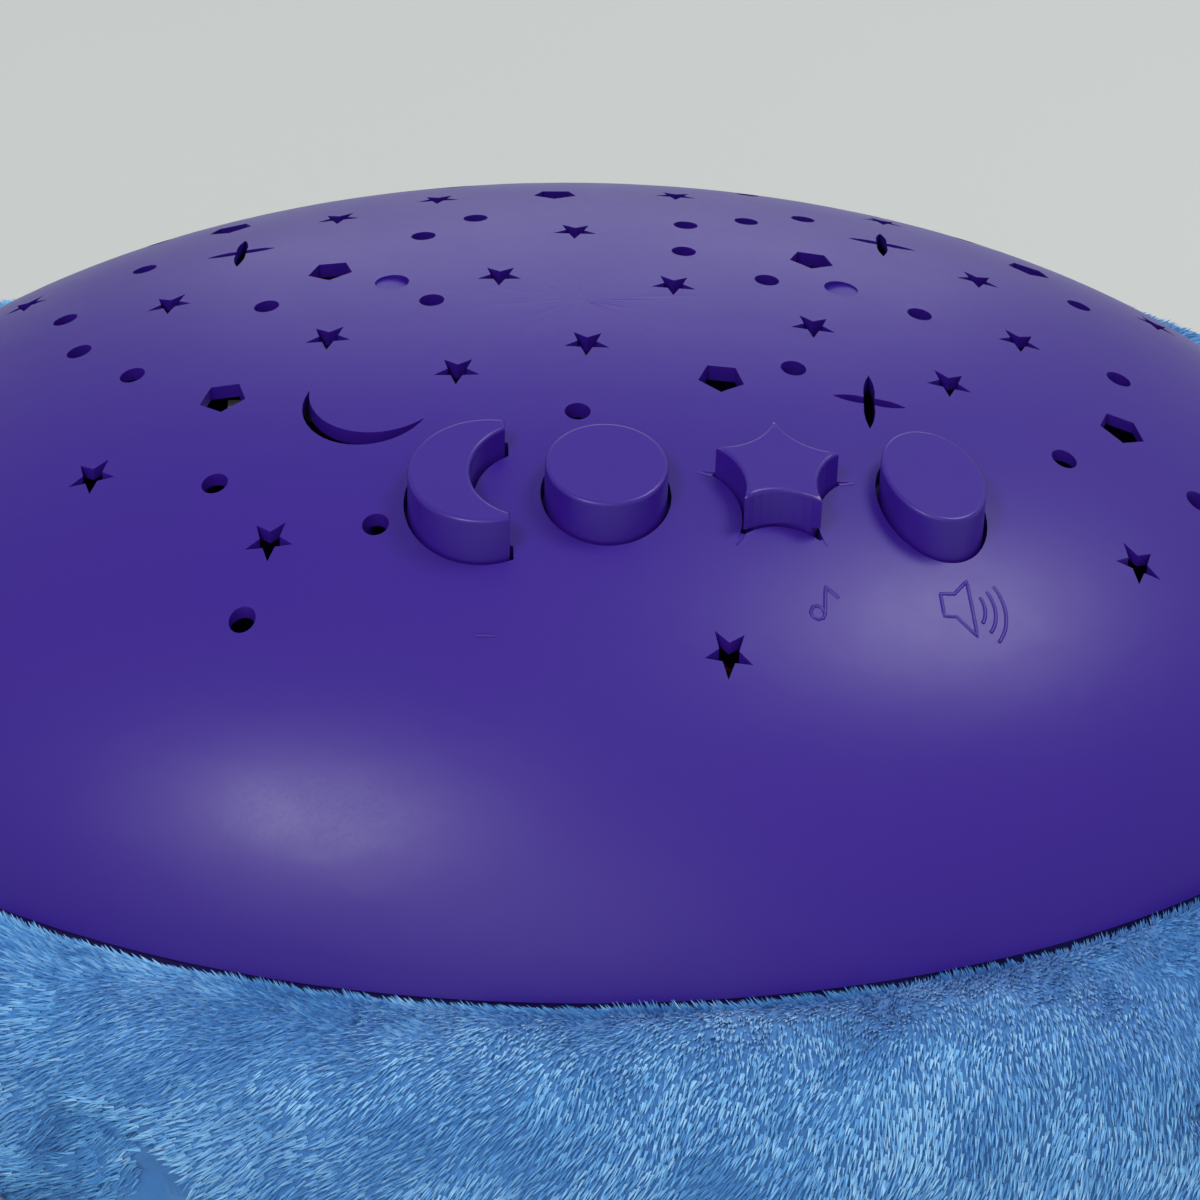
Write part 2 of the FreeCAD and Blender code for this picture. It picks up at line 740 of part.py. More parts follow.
def speaker_frame():
    z = speaker_face_z
    ring = cylinder(speaker_x, 0, speaker_radius, z - 2, z)
    ears = []
    for x, y in speaker_screw_places():
        ears.append(cylinder(x, y, 3.2, z - 2, z))
    basket = Part.makeCone(11, speaker_radius - 2, 8, V(speaker_x, 0, z - 10))
    bowl = Part.makeCone(9.5, speaker_radius - 3, 7, V(speaker_x, 0, z - 8.6))
    mouth = cylinder(speaker_x, 0, speaker_radius - 3, z - 1.7, z + 1)
    body = ring.fuse(ears).fuse(basket).cut([bowl, mouth])
    holes = [cylinder(x, y, screw_shank + screw_slack, z - 5, z + 3) for x, y in speaker_screw_places()]
    return body.cut(holes)


def speaker_cone():
    z = speaker_face_z
    outer = Part.makeCone(6, speaker_radius - 3.1, 5.5, V(speaker_x, 0, z - 7.2))
    inner = Part.makeCone(5.4, speaker_radius - 4.0, 5.5, V(speaker_x, 0, z - 6.6))
    cap = Part.makeSphere(6.5, V(speaker_x, 0, z - 9.5), V(0, 0, 1), 0, 90, 360)
    return outer.cut(inner).fuse(cap.common(cylinder(speaker_x, 0, 5.6, z - 7.2, z)))


def speaker_magnet():
    z = speaker_face_z - 10
    plate = cylinder(speaker_x, 0, 9.5, z - 5, z)
    return plate.fuse(Part.makeCone(8.5, 9.5, 1.0, V(speaker_x, 0, z - 6)))


# Leads: round wire along straight runs joined by tangent arcs

def lead_path(points):
    corners = [V(*p) for p in points]
    edges = []
    at = corners[0]
    for before, corner, after in zip(corners, corners[1:], corners[2:]):
        into = corner - before
        out = after - corner
        run = min(into.Length, out.Length)
        into.normalize()
        out.normalize()
        turn = math.acos(max(-1.0, min(1.0, into.dot(out))))
        trim = 0.45 * run
        start = corner - into * trim
        end = corner + out * trim
        inward = (out - into).normalize()
        radius = trim / math.tan(turn / 2)
        centre = corner + inward * math.hypot(radius, trim)
        middle = centre - inward * radius
        edges.append(Part.LineSegment(at, start).toShape())
        edges.append(Part.Arc(start, middle, end).toShape())
        at = end
    edges.append(Part.LineSegment(at, corners[-1]).toShape())
    return Part.Wire(edges)


def lead(points, radius):
    path = lead_path(points)
    start = path.Edges[0]
    circle = Part.Circle(start.valueAt(start.FirstParameter), start.tangentAt(start.FirstParameter), radius)
    tube = path.makePipeShell([Part.Wire(circle.toShape())], True, False)
    drift = tube.Volume / (math.pi * radius * radius * path.Length)
    print("lead length", round(path.Length), "volume ratio", round(drift, 3))
    return tube


def battery_leads():
    z = main_board_z + board_thickness
    return lead([(-31.1, 5, 20), (-36, 5, 20), (-40, 4, 21.5), (-43, 3, z + 3), (-43, 3, z)], 0.9)


def speaker_leads():
    z = main_board_z + board_thickness
    route = [
        (41.4, 7.7, 18), (37.5, 12, 17.5), (35, 18, 18.5), (32, 24, 22), (22, 29, 28), (0, 30, 34),
        (-20, 29, 34), (-36, 25, 28), (-43, 21, z + 5), (-43, 21, z),
    ]
    return lead(route, 0.9)


def lamp_leads():
    z = main_board_z + board_thickness
    top = bracket_top_z - 3.3
    route = [
        (-30, 15, top), (-30, 15, 74), (-33, 14, 58), (-37, 11, 42),
        (-41, 8, 29), (-43, 7, z + 5), (-43, 7, z),
    ]
    return lead(route, 0.9)


def button_leads():
    z = main_board_z + board_thickness
    top = board_top_z - board_thickness
    route = [
        (-22, -34, top), (-22, -34, 72), (-26, -31, 58), (-34, -26, 44),
        (-41, -21, 30), (-45, -19, z + 5), (-45, -19, z),
    ]
    return lead(route, 0.9)


# Stuffed turtle

def pillow():
    side_z = body_top_z - body_top_round
    low_round = side_z + sink
    outer = body_half_y
    top = V(outer - body_top_round, 0, body_top_z)
    side = V(outer, 0, side_z)
    low = V(outer - low_round, 0, -sink)
    diagonal = math.sqrt(0.5)
    upper_mid = V(outer - body_top_round * (1 - diagonal), 0, side_z + body_top_round * diagonal)
    lower_mid = V(outer - low_round * (1 - diagonal), 0, side_z - low_round * diagonal)
    edges = [
        Part.makeLine(V(0, 0, body_top_z), top),
        Part.Arc(top, upper_mid, side).toShape(),
        Part.Arc(side, lower_mid, low).toShape(),
        Part.makeLine(low, V(0, 0, -sink)),
        Part.makeLine(V(0, 0, -sink), V(0, 0, body_top_z)),
    ]
    turned = Part.Face(Part.Wire(edges)).revolve(V(0, 0, 0), V(0, 0, 1), 360)
    return squash_round(turned, body_half_x, body_half_y)


def rim_seat():
    return oval_plate(
        dome_half_x + rim_clear, dome_half_y + rim_clear, rim_z - flange_thickness, rim_z + 10
    )


def below_ground():
    return Part.makeBox(3 * far, 2 * far, far, V(-1.5 * far, -far, -far))


def pocket():
    return oval_cone(
        tray_foot_half_x + pocket_gap - 0.25, tray_foot_half_y + pocket_gap - 0.25, tray_foot_z - 10,
        tray_top_half_x + pocket_gap, tray_top_half_y + pocket_gap, rim_z,
    )


def lens_section(centre, across, width, rise, drop):
    # Two arcs that meet at the side seams.
    left = centre - across * (width / 2)
    right = centre + across * (width / 2)
    upper = Part.Arc(left, centre + V(0, 0, rise), right).toShape()
    lower = Part.Arc(right, centre - V(0, 0, drop), left).toShape()
    return Part.Wire([upper, lower])


def limb(root, heading, stations):
    # Stations: distance along the limb, sideways drift, height, width, rise, drop.
    turn = math.radians(heading)
    along = V(math.cos(turn), math.sin(turn), 0)
    across = V(-math.sin(turn), math.cos(turn), 0)
    sections = []
    for reach, drift, height, width, rise, drop in stations:
        centre = V(root[0], root[1], height) + along * reach + across * drift
        sections.append(lens_section(centre, across, width, rise, drop))
    return Part.makeLoft(sections, True, False)


front_flipper_stations = (
    (0, 0, 27, 48, 21, 20),
    (34, 0, 26, 55, 20, 20),
    (62, -1, 22, 60, 16, 18),
    (88, -5, 17, 56, 12, 14),
    (108, -10, 13, 40, 9, 10.5),
    (121, -14, 10, 15, 4.5, 5),
)
rear_flipper_stations = (
    (0, 0, 25, 42, 18, 18),
    (30, 0, 23, 47, 17, 18),
    (54, 1, 19, 50, 14, 16),
    (76, 4, 14.5, 44, 10.5, 12),
    (92, 7, 12, 30, 7.5, 9),
    (101, 9, 10, 11, 4, 4.5),
)


def flipper(stations, root, heading):
    solid = limb(root, heading, stations)
    return solid.cut([pillow(), below_ground()])


def mirror_y(shape):
    return shape.mirror(V(0, 0, 0), V(0, 1, 0))


def head_section(x, z, half_wide, rise, drop):
    # Four arcs, each a quarter of an oval.
    top, low = V(x, 0, z + rise), V(x, 0, z - drop)
    left, right = V(x, half_wide, z), V(x, -half_wide, z)
    diagonal = math.sqrt(0.5)
    corners = [(top, left, 1, 1), (left, low, 1, -1), (low, right, -1, -1), (right, top, -1, 1)]
    edges = []
    for start, end, side, level in corners:
        height = rise if level > 0 else drop
        mid = V(x, side * half_wide * diagonal, z + level * height * diagonal)
        edges.append(Part.Arc(start, mid, end).toShape())
    return Part.Wire(edges)


head_stations = (
    (-96, 34, 25, 17, 18),
    (-116, 41, 27, 21, 22),
    (-134, 50, 31, 27, 27),
    (-152, 54, 34, 30, 29),
    (-168, 53, 31, 26, 26),
    (-180, 50, 22, 17, 18),
    (head_tip_x, 48, 9, 7, 7),
)
tail_stations = (
    (108, 25, 19, 15, 15),
    (126, 21, 16, 11, 12),
    (142, 17, 11, 7.5, 8),
    (tail_tip_x, 14, 4, 3, 3),
)


def tapered(stations):
    sections = [head_section(*station) for station in stations]
    return Part.makeLoft(sections, True, False).cut([pillow(), below_ground()])


def main():
    write("star_dome", star_dome())
    for kind in button_places:
        write(kind + "_button", button(kind))
        write(kind + "_button_pad", button_pad(kind))
    write("button_board", button_board())
    write("base_tray", base_tray())
    write("battery_door", battery_door())
    write("battery_door_screw", door_screw())
    write("batteries", batteries())
    write("battery_contacts", battery_contacts())
    write("main_board", main_board())
    write("controller_chip", controller_chip())
    write("supply_capacitors", supply_capacitors())
    write("lamp_bracket", lamp_bracket())
    write("lamp_board", lamp_board())
    for name, order in (("amber_lamp", -1), ("green_lamp", 0), ("blue_lamp", 1)):
        write(name, lamp(order))
    write("speaker_frame", speaker_frame())
    write("speaker_cone", speaker_cone())
    write("speaker_magnet", speaker_magnet())
    case_screws = [
        screw(x, y, case_screw_head_z, case_screw_tip_z, screw_head) for x, y in post_places()
    ]
    write("case_screws", Part.makeCompound(case_screws))
    low = board_top_z - board_thickness
    write("button_board_screws", Part.makeCompound(
        [screw(x, board_row_y, low, low + 6, 2.4) for x in board_ends_x]
    ))
    high = main_board_z + board_thickness
    write("main_board_screws", Part.makeCompound(
        [screw(x, y, high, high - 6, 2.4) for x, y in board_screw_places()]
    ))
    foot = bay_roof_z + bay_wall + 2
    write("bracket_screws", Part.makeCompound(
        [screw(x, y, foot, foot - 3.4, 2.4) for x, y in bracket_screw_places()]
    ))
    write("speaker_screws", Part.makeCompound(
        [screw(x, y, speaker_face_z, speaker_face_z - 7, 2.4) for x, y in speaker_screw_places()]
    ))
    write("battery_leads", battery_leads())
    write("speaker_leads", speaker_leads())
    write("lamp_leads", lamp_leads())
    write("button_leads", button_leads())
    write("plush_body", pillow().cut([pocket(), rim_seat(), below_ground()]))
    front = flipper(front_flipper_stations, (-48, -66), 240)
    rear = flipper(rear_flipper_stations, (58, -66), 300)
    write("front_left_flipper", front)
    write("front_right_flipper", mirror_y(front))
    write("rear_left_flipper", rear)
    write("rear_right_flipper", mirror_y(rear))
    write("plush_head", tapered(head_stations))
    write("plush_tail", tapered(tail_stations))


main()
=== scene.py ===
# %% [markdown]
# # Star night light projector
#
# The object is a plush sea turtle with a hard plastic shell.
# Lamps inside the shell throw stars on the ceiling through its cut-outs.
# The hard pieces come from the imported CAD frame, so this file never moves or reshapes them.
# Here they get their finish, and the plush body gets its fabric, stuffing, seams and pile.

import math

import bmesh
import bpy
import numpy as np
from mathutils import Matrix, Quaternion, Vector, noise
from mathutils.bvhtree import BVHTree


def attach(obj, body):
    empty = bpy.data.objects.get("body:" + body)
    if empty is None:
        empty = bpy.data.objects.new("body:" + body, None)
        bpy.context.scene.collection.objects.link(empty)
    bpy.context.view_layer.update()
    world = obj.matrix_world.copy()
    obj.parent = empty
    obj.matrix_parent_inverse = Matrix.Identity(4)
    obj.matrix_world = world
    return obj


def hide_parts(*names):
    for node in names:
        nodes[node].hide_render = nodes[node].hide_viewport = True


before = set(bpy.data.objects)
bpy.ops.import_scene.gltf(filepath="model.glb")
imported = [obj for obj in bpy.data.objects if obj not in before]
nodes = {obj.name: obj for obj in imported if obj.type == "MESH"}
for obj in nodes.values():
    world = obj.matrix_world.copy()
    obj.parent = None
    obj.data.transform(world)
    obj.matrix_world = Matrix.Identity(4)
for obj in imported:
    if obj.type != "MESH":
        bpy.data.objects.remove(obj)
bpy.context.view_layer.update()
scene = bpy.context.scene
mm = 0.001
print("pieces in the frame:", len(nodes))


def placed(name, data):
    """A new object around a mesh, curve, lamp or camera, linked to the scene."""
    made = bpy.data.objects.new(name, data)
    scene.collection.objects.link(made)
    return made

# %% [markdown]
# ## Camera
#
# The camera comes first, because every later choice is judged through it.
# The photo looks down on the shell from the side with the buttons, from about half a metre.
# A long lens of 128 mm keeps the oval shell from bulging towards the viewer.
# The camera is turned a little about its own line of sight, as a hand-held one is.
# No shift is used, because other views reuse the lens.

# %% Camera
camera_place = Vector((-0.01594, -0.44909, 0.33702))
camera_aim = Vector((0.01716, -0.00953, 0.06279))
camera_roll = math.radians(1.708)

camera_data = bpy.data.cameras.new("camera")
camera_data.lens = 128.51
camera_data.sensor_width = 36.0
camera_data.clip_start, camera_data.clip_end = 0.02, 20.0
camera = placed("camera", camera_data)
turn = (camera_aim - camera_place).to_track_quat("-Z", "Y") @ Quaternion((0, 0, 1), camera_roll)
camera.matrix_world = Matrix.Translation(camera_place) @ turn.to_matrix().to_4x4()
scene.camera = camera
print("camera is", round((camera_aim - camera_place).length, 3), "m from its aim")

# %% [markdown]
# ## Shader maths
#
# A finish is a short formula on noise, place and a few masks.
# This small class wraps one socket of a shader tree.
# With it, a + b or 1 - mask writes the Math nodes.
# Its one method, node, makes any other node, with its settings first and its sockets after.

# %% Shader helper
class Wire:
    def __init__(self, tree, socket=None):
        self.tree, self.socket = tree, socket

    def node(self, kind, settings=None, sockets=None, out=0):
        made = self.tree.nodes.new(kind)
        for name, value in (settings or {}).items():
            setattr(made, name, value)
        for name, value in (sockets or {}).items():
            if isinstance(value, Wire):
                self.tree.links.new(value.socket, made.inputs[name])
            else:
                made.inputs[name].default_value = value
        return Wire(self.tree, made.outputs[out])

    def maths(self, operation, a, b):
        return self.node("ShaderNodeMath", {"operation": operation}, {0: a, 1: b})

    def __add__(self, other): return self.maths("ADD", self, other)
    def __radd__(self, other): return self.maths("ADD", other, self)
    def __sub__(self, other): return self.maths("SUBTRACT", self, other)
    def __rsub__(self, other): return self.maths("SUBTRACT", other, self)
    def __mul__(self, other): return self.maths("MULTIPLY", self, other)
    def __rmul__(self, other): return self.maths("MULTIPLY", other, self)
    def __gt__(self, other): return self.maths("GREATER_THAN", self, other)


def linear(red, green, blue):
    """A colour as read off a screen, 0 to 255, as the linear values that a shader takes."""
    found = []
    for v in (red / 255, green / 255, blue / 255):
        found.append(v / 12.92 if v <= 0.04045 else ((v + 0.055) / 1.055) ** 2.4)
    return (*found, 1.0)


def new_finish(name):
    """A material with one Principled shader. Returns it, the shader and a Wire to build on."""
    material = bpy.data.materials.new(name)
    material.use_nodes = True
    shader = material.node_tree.nodes["Principled BSDF"]
    return material, shader, Wire(material.node_tree)


def places(wire, stretch=(1, 1, 1)):
    """The piece's own coordinates in metres, stretched so that noise can run along one way."""
    own = wire.node("ShaderNodeTexCoord", out="Object")
    return wire.node("ShaderNodeMapping", {}, {"Vector": own, "Scale": stretch})


def noise_at(wire, at, scale, detail=2.0, rough=0.5):
    return wire.node(
        "ShaderNodeTexNoise", {},
        {"Vector": at, "Scale": scale, "Detail": detail, "Roughness": rough},
    )


def mixed(wire, share, a, b):
    """Two colours mixed by a share. A Math node would turn them grey."""
    return wire.node("ShaderNodeMix", {"data_type": "RGBA"}, {0: share, 6: a, 7: b}, out=2)


def bumped(wire, height, strength, distance):
    return wire.node(
        "ShaderNodeBump", {}, {"Height": height, "Strength": strength, "Distance": distance}
    )


def feed(wire, shader, **values):
    """Links or sets the shader's sockets. Base_Color stands for Base Color."""
    for name, value in values.items():
        socket = shader.inputs[name.replace("_", " ")]
        if isinstance(value, Wire):
            wire.tree.links.new(value.socket, socket)
        else:
            socket.default_value = value


print("shader helper ready")

# %% [markdown]
# ## Moulded plastic
#
# The shell and buttons are one colour of ABS, straight from a mould with a fine satin grain.
# The colour is deep violet, and the broad soft highlights say that it is about half glossy.
# Handling leaves slightly smoother patches, so the roughness wanders slowly over the surface.
# A very fine bump stands for the mould's grain, and a slow one for sinks over ribs and bosses.
# The same function makes the duller tray and the white bracket, with other numbers.

# %% Plastic finishes
def plastic(name, colour, shade, roughness, wander, grain, grain_size, shine=0.5):
    material, shader, wire = new_finish(name)
    at = places(wire)
    slow = noise_at(wire, at, 22.0, 3.0)
    patches = noise_at(wire, at, 75.0, 4.0, 0.6)
    fine = noise_at(wire, at, 1000.0 / grain_size, 2.0, 0.6)
    feed(
        wire, shader,
        Base_Color=mixed(wire, slow * 0.6 + patches * 0.4, colour, shade),
        Roughness=(patches - 0.5) * wander + (fine - 0.5) * 0.06 + roughness,
        Normal=bumped(wire, fine * 0.5 + slow * 2.0, 0.35, grain * mm),
        Specular_IOR_Level=shine,
    )
    return material


violet, deep_violet = linear(54, 21, 142), linear(49, 18, 134)
shell_plastic = plastic(
    "shell_plastic", violet, deep_violet, 0.38, 0.10, 0.016, 0.45, shine=0.4
)
button_plastic = plastic(
    "button_plastic", violet, deep_violet, 0.34, 0.08, 0.012, 0.45, shine=0.45
)
tray_plastic = plastic(
    "tray_plastic", linear(52, 36, 110), linear(46, 32, 99), 0.52, 0.08, 0.03, 0.6
)
bracket_plastic = plastic(
    "bracket_plastic", linear(226, 226, 222), linear(218, 219, 216), 0.42, 0.06, 0.02, 0.6
)
plastics = (shell_plastic, button_plastic, tray_plastic, bracket_plastic)
print("plastic finishes:", [m.name for m in plastics])

# %% [markdown]
# ## Finishes of the inner pieces
#
# The boards, lamps and battery bay are seen through the cut-outs and with the door open.
# Metals get long brushed streaks, so their noise is stretched hard along one way.
# Boards get a woven ground under the solder mask and faint copper runs that catch the light.
# Rubber, paper, ferrite and wire skin differ mostly in roughness and in the size of their grain.

# %% Inner finishes
def metal(name, colour, worn, roughness, streak):
    material, shader, wire = new_finish(name)
    drawn = noise_at(wire, places(wire, streak), 900.0, 3.0, 0.7)
    stains = noise_at(wire, places(wire), 140.0, 4.0, 0.6)
    feed(
        wire, shader,
        Base_Color=mixed(wire, stains, colour, worn),
        Metallic=1.0,
        Roughness=(drawn - 0.5) * 0.25 + roughness,
        Normal=bumped(wire, drawn, 0.3, 0.02 * mm),
    )
    return material


def soft_skin(name, colour, shade, roughness, grain, grain_size):
    material, shader, wire = new_finish(name)
    at = places(wire)
    cloudy = noise_at(wire, at, 160.0, 3.0)
    fine = noise_at(wire, at, 1000.0 / grain_size, 3.0, 0.65)
    feed(
        wire, shader,
        Base_Color=mixed(wire, cloudy, colour, shade),
        Roughness=(fine - 0.5) * 0.15 + roughness,
        Normal=bumped(wire, fine, 0.4, grain * mm),
    )
    return material


def circuit_board(name):
    material, shader, wire = new_finish(name)
    at = places(wire)
    weave = wire.node(
        "ShaderNodeTexWave", {"wave_type": "BANDS", "bands_direction": "X"},
        {"Vector": at, "Scale": 480.0, "Distortion": 0.6},
    )
    runs = wire.node(
        "ShaderNodeTexVoronoi", {"distance": "CHEBYCHEV", "feature": "F1"},
        {"Vector": places(wire, (1, 1, 0.001)), "Scale": 260.0, "Randomness": 0.7},
    )
    run_edge = 0.36
    track = 1 - (runs > run_edge)
    mask = mixed(wire, weave * 0.3, linear(18, 92, 58), linear(14, 76, 48))
    feed(
        wire, shader,
        Base_Color=mixed(wire, track * 0.55, mask, linear(44, 128, 74)),
        Roughness=track * -0.08 + 0.34,
        Normal=bumped(wire, track + weave * 0.2, 0.5, 0.035 * mm),
    )
    return material


def tinted_lens(name, colour):
    material, shader, wire = new_finish(name)
    swirl = noise_at(wire, places(wire), 600.0, 3.0)
    feed(
        wire, shader,
        Base_Color=mixed(wire, swirl, colour, tuple(v * 0.8 for v in colour[:3]) + (1.0,)),
        Roughness=swirl * 0.06 + 0.08,
        Normal=bumped(wire, swirl, 0.1, 0.02 * mm),
        Coat_Weight=0.3,
    )
    return material


finishes = {
    "board": circuit_board("solder_mask"),
    "zinc": metal("zinc_plate", linear(196, 198, 200), linear(168, 172, 176), 0.34, (1, 1, 9)),
    "spring": metal(
        "spring_steel", linear(206, 206, 202), linear(182, 182, 180), 0.26, (9, 1, 1)
    ),
    "pad": soft_skin("pad_silicone", linear(208, 208, 204), linear(196, 197, 195), 0.55, 0.02, 0.5),
    "black": soft_skin("chip_epoxy", linear(42, 42, 44), linear(34, 34, 36), 0.50, 0.03, 0.3),
    "jacket": soft_skin("cell_sleeve", linear(78, 80, 84), linear(62, 63, 68), 0.3, 0.01, 0.8),
    "steel": soft_skin("speaker_enamel", linear(64, 64, 66), linear(52, 52, 54), 0.42, 0.02, 0.4),
    "paper": soft_skin("cone_paper", linear(86, 82, 78), linear(70, 67, 64), 0.85, 0.06, 0.7),
    "ferrite": soft_skin("ferrite", linear(74, 74, 78), linear(58, 58, 60), 0.60, 0.04, 0.3),
    "lead": soft_skin("lead_skin", linear(168, 38, 36), linear(150, 30, 30), 0.45, 0.01, 0.6),
    "amber": tinted_lens("amber_lens", linear(240, 160, 48)),
    "green": tinted_lens("green_lens", linear(76, 190, 92)),
    "blue": tinted_lens("blue_lens", linear(62, 110, 226)),
}
print("inner finishes:", ", ".join(sorted(finishes)))

# %% [markdown]
# ## Dressing the CAD nodes
#
# Each hard node keeps its mesh, and only the material in its slots is swapped.
# A table keeps the pairs in one place, so a missing node shows at once.

# %% Dress the hard pieces
worn_by = {
    shell_plastic: ("star_dome",),
    button_plastic: ("moon_button", "round_button", "star_button", "oval_button"),
    tray_plastic: ("base_tray", "battery_door"),
    bracket_plastic: ("lamp_bracket",),
    finishes["board"]: ("button_board", "main_board", "lamp_board"),
    finishes["zinc"]: (
        "battery_door_screw", "case_screws", "button_board_screws",
        "main_board_screws", "bracket_screws", "speaker_screws",
    ),
    finishes["spring"]: ("battery_contacts",),
    finishes["pad"]: ("moon_button_pad", "round_button_pad", "star_button_pad", "oval_button_pad"),
    finishes["black"]: ("controller_chip", "supply_capacitors"),
    finishes["jacket"]: ("batteries",),
    finishes["steel"]: ("speaker_frame",),
    finishes["paper"]: ("speaker_cone",),
    finishes["ferrite"]: ("speaker_magnet",),
    finishes["lead"]: ("battery_leads", "speaker_leads", "lamp_leads", "button_leads"),
    finishes["amber"]: ("amber_lamp",),
    finishes["green"]: ("green_lamp",),
    finishes["blue"]: ("blue_lamp",),
}
for finish, names in worn_by.items():
    for name in names:
        for slot in nodes[name].material_slots:
            slot.material = finish
plush_nodes = [name for name in nodes if name not in sum(worn_by.values(), ())]
print("hard nodes dressed:", len(nodes) - len(plush_nodes), "- left for fabric:", plush_nodes)

# %% [markdown]
# ## Fabric and pile
#
# Plush is a knitted ground with a dense coat of short fibres, all combed roughly one way.
# The ground only shows between the fibres, so its deeper blue is painted shade from the fibres over
# it, and it gets a fine knit.
# The fibres are real geometry, in four close shades, because one blue looks like felt, and the
# paler shades are laid in strokes as painted nap sheen.
# Those four have no pattern of their own: each fibre is thinner than any pattern would be.

# %% Fabric finishes
def knitted_ground(name):
    material, shader, wire = new_finish(name)
    at = places(wire)
    combed = noise_at(wire, places(wire, (1, 1, 3)), 420.0, 4.0, 0.65)
    clumps = noise_at(wire, at, 120.0, 3.0, 0.6)
    # Painted shade: the ground's deeper blues stand for the shadow between the fibres, with clumps
    # of random tone.
    ground_with_painted_shade = mixed(wire, clumps, linear(48, 104, 168), linear(66, 128, 192))
    feed(
        wire, shader,
        Base_Color=mixed(wire, combed * 0.5, ground_with_painted_shade, linear(84, 146, 206)),
        Roughness=(combed - 0.5) * 0.1 + 0.92,
        Normal=bumped(wire, combed * 0.6 + clumps, 0.8, 0.5 * mm),
        Sheen_Weight=0.35,
        Sheen_Roughness=0.5,
    )
    return material


def fibre(name, colour):
    material, shader, wire = new_finish(name)
    feed(
        wire, shader,
        Base_Color=colour, Roughness=0.62, Specular_IOR_Level=0.35,
        Sheen_Weight=0.25, Sheen_Roughness=0.4,
    )
    return material


ground_fabric = knitted_ground("plush_ground")
pile_shades = [
    fibre("pile_deep", linear(82, 150, 212)),
    fibre("pile_mid", linear(104, 172, 228)),
    fibre("pile_light", linear(126, 190, 238)),
    fibre("pile_pale", linear(154, 208, 246)),
]
eye_thread = soft_skin("eye_thread", linear(30, 34, 58), linear(22, 25, 44), 0.45, 0.03, 0.2)
glint_thread = soft_skin(
    "glint_thread", linear(232, 234, 238), linear(214, 218, 226), 0.5, 0.03, 0.2
)
print("fabric finishes:", ground_fabric.name, [m.name for m in pile_shades])

# %% [markdown]
# ## Stuffed pieces
#
# A stuffed limb starts as a copy of its CAD solid, because that holds its true place and size.
# A voxel remesh gives it even quads, which cloth needs, and a light smoothing takes off the steps.
# Then Cloth blows it up from inside for twenty frames, with every move capped.
# Points that are clamped or sewn are held by a pin group, so they stay where the frame needs them.

# %% Helpers for stuffed pieces
def modified_mesh(piece):
    """The piece's mesh as its modifiers leave it."""
    graph = bpy.context.evaluated_depsgraph_get()
    return bpy.data.meshes.new_from_object(piece.evaluated_get(graph), depsgraph=graph)


def settle(piece):
    """Makes the piece's modifiers permanent."""
    made = modified_mesh(piece)
    piece.modifiers.clear()
    piece.data = made
    return piece


def point_values(piece, field):
    flat = np.empty(len(piece.data.vertices) * 3)
    piece.data.vertices.foreach_get(field, flat)
    return flat.reshape(-1, 3)


def points_of(piece):
    return point_values(piece, "co")


def normals_of(piece):
    return point_values(piece, "normal")


def move_to(piece, points):
    piece.data.vertices.foreach_set("co", np.asarray(points, np.float32).ravel())
    piece.data.update()


def copied(name, node, voxel):
    """A new piece in the even quads of a voxel remesh, from a merged copy of a CAD node."""
    mesh = nodes[node].data.copy()
    mesh.materials.clear()
    piece = placed(name, mesh)
    form = bmesh.new()
    form.from_mesh(mesh)
    bmesh.ops.remove_doubles(form, verts=form.verts, dist=1e-6)
    form.to_mesh(mesh)
    form.free()
    even = piece.modifiers.new("even quads", "REMESH")
    even.mode, even.voxel_size = "VOXEL", voxel
    ease = piece.modifiers.new("ease", "SMOOTH")
    ease.factor, ease.iterations = 0.5, 5
    return settle(piece)


stuffing_frames = 20


def stuffed(piece, cap, held, pressure):
    """Blows the piece up with Cloth. held gives each point's pin weight.
    No point moves farther than cap."""
    before = points_of(piece)
    cloth = piece.modifiers.new("stuffing", "CLOTH")
    rules = cloth.settings
    rules.quality, rules.mass = 5, 0.3
    rules.tension_stiffness = rules.compression_stiffness = 15.0
    rules.shear_stiffness, rules.bending_stiffness = 5.0, 0.6
    rules.use_pressure, rules.uniform_pressure_force = True, pressure
    rules.effector_weights.gravity = 0.0
    pins = piece.vertex_groups.new(name="held")
    for index, weight in enumerate(held):
        pins.add([index], float(weight), "REPLACE")
    rules.vertex_group_mass = pins.name
    cloth.point_cache.frame_start, cloth.point_cache.frame_end = 1, stuffing_frames
    for number in range(1, stuffing_frames + 1):
        scene.frame_set(number)
    graph = bpy.context.evaluated_depsgraph_get()
    after = np.array([v.co for v in piece.evaluated_get(graph).data.vertices])
    piece.modifiers.clear()
    scene.frame_set(1)
    moved = after - before
    length = np.linalg.norm(moved, axis=1, keepdims=True)
    move_to(piece, before + moved * np.minimum(1.0, cap / np.maximum(length, 1e-9)))
    print(piece.name, "swelled by up to", round(float(min(length.max(), cap)) / mm, 1), "mm")
    return piece


def finer(piece):
    """One smooth subdivision, made permanent."""
    smooth = piece.modifiers.new("finer", "SUBSURF")
    smooth.levels = smooth.render_levels = 1
    return settle(piece)


print("helpers for stuffed pieces ready")
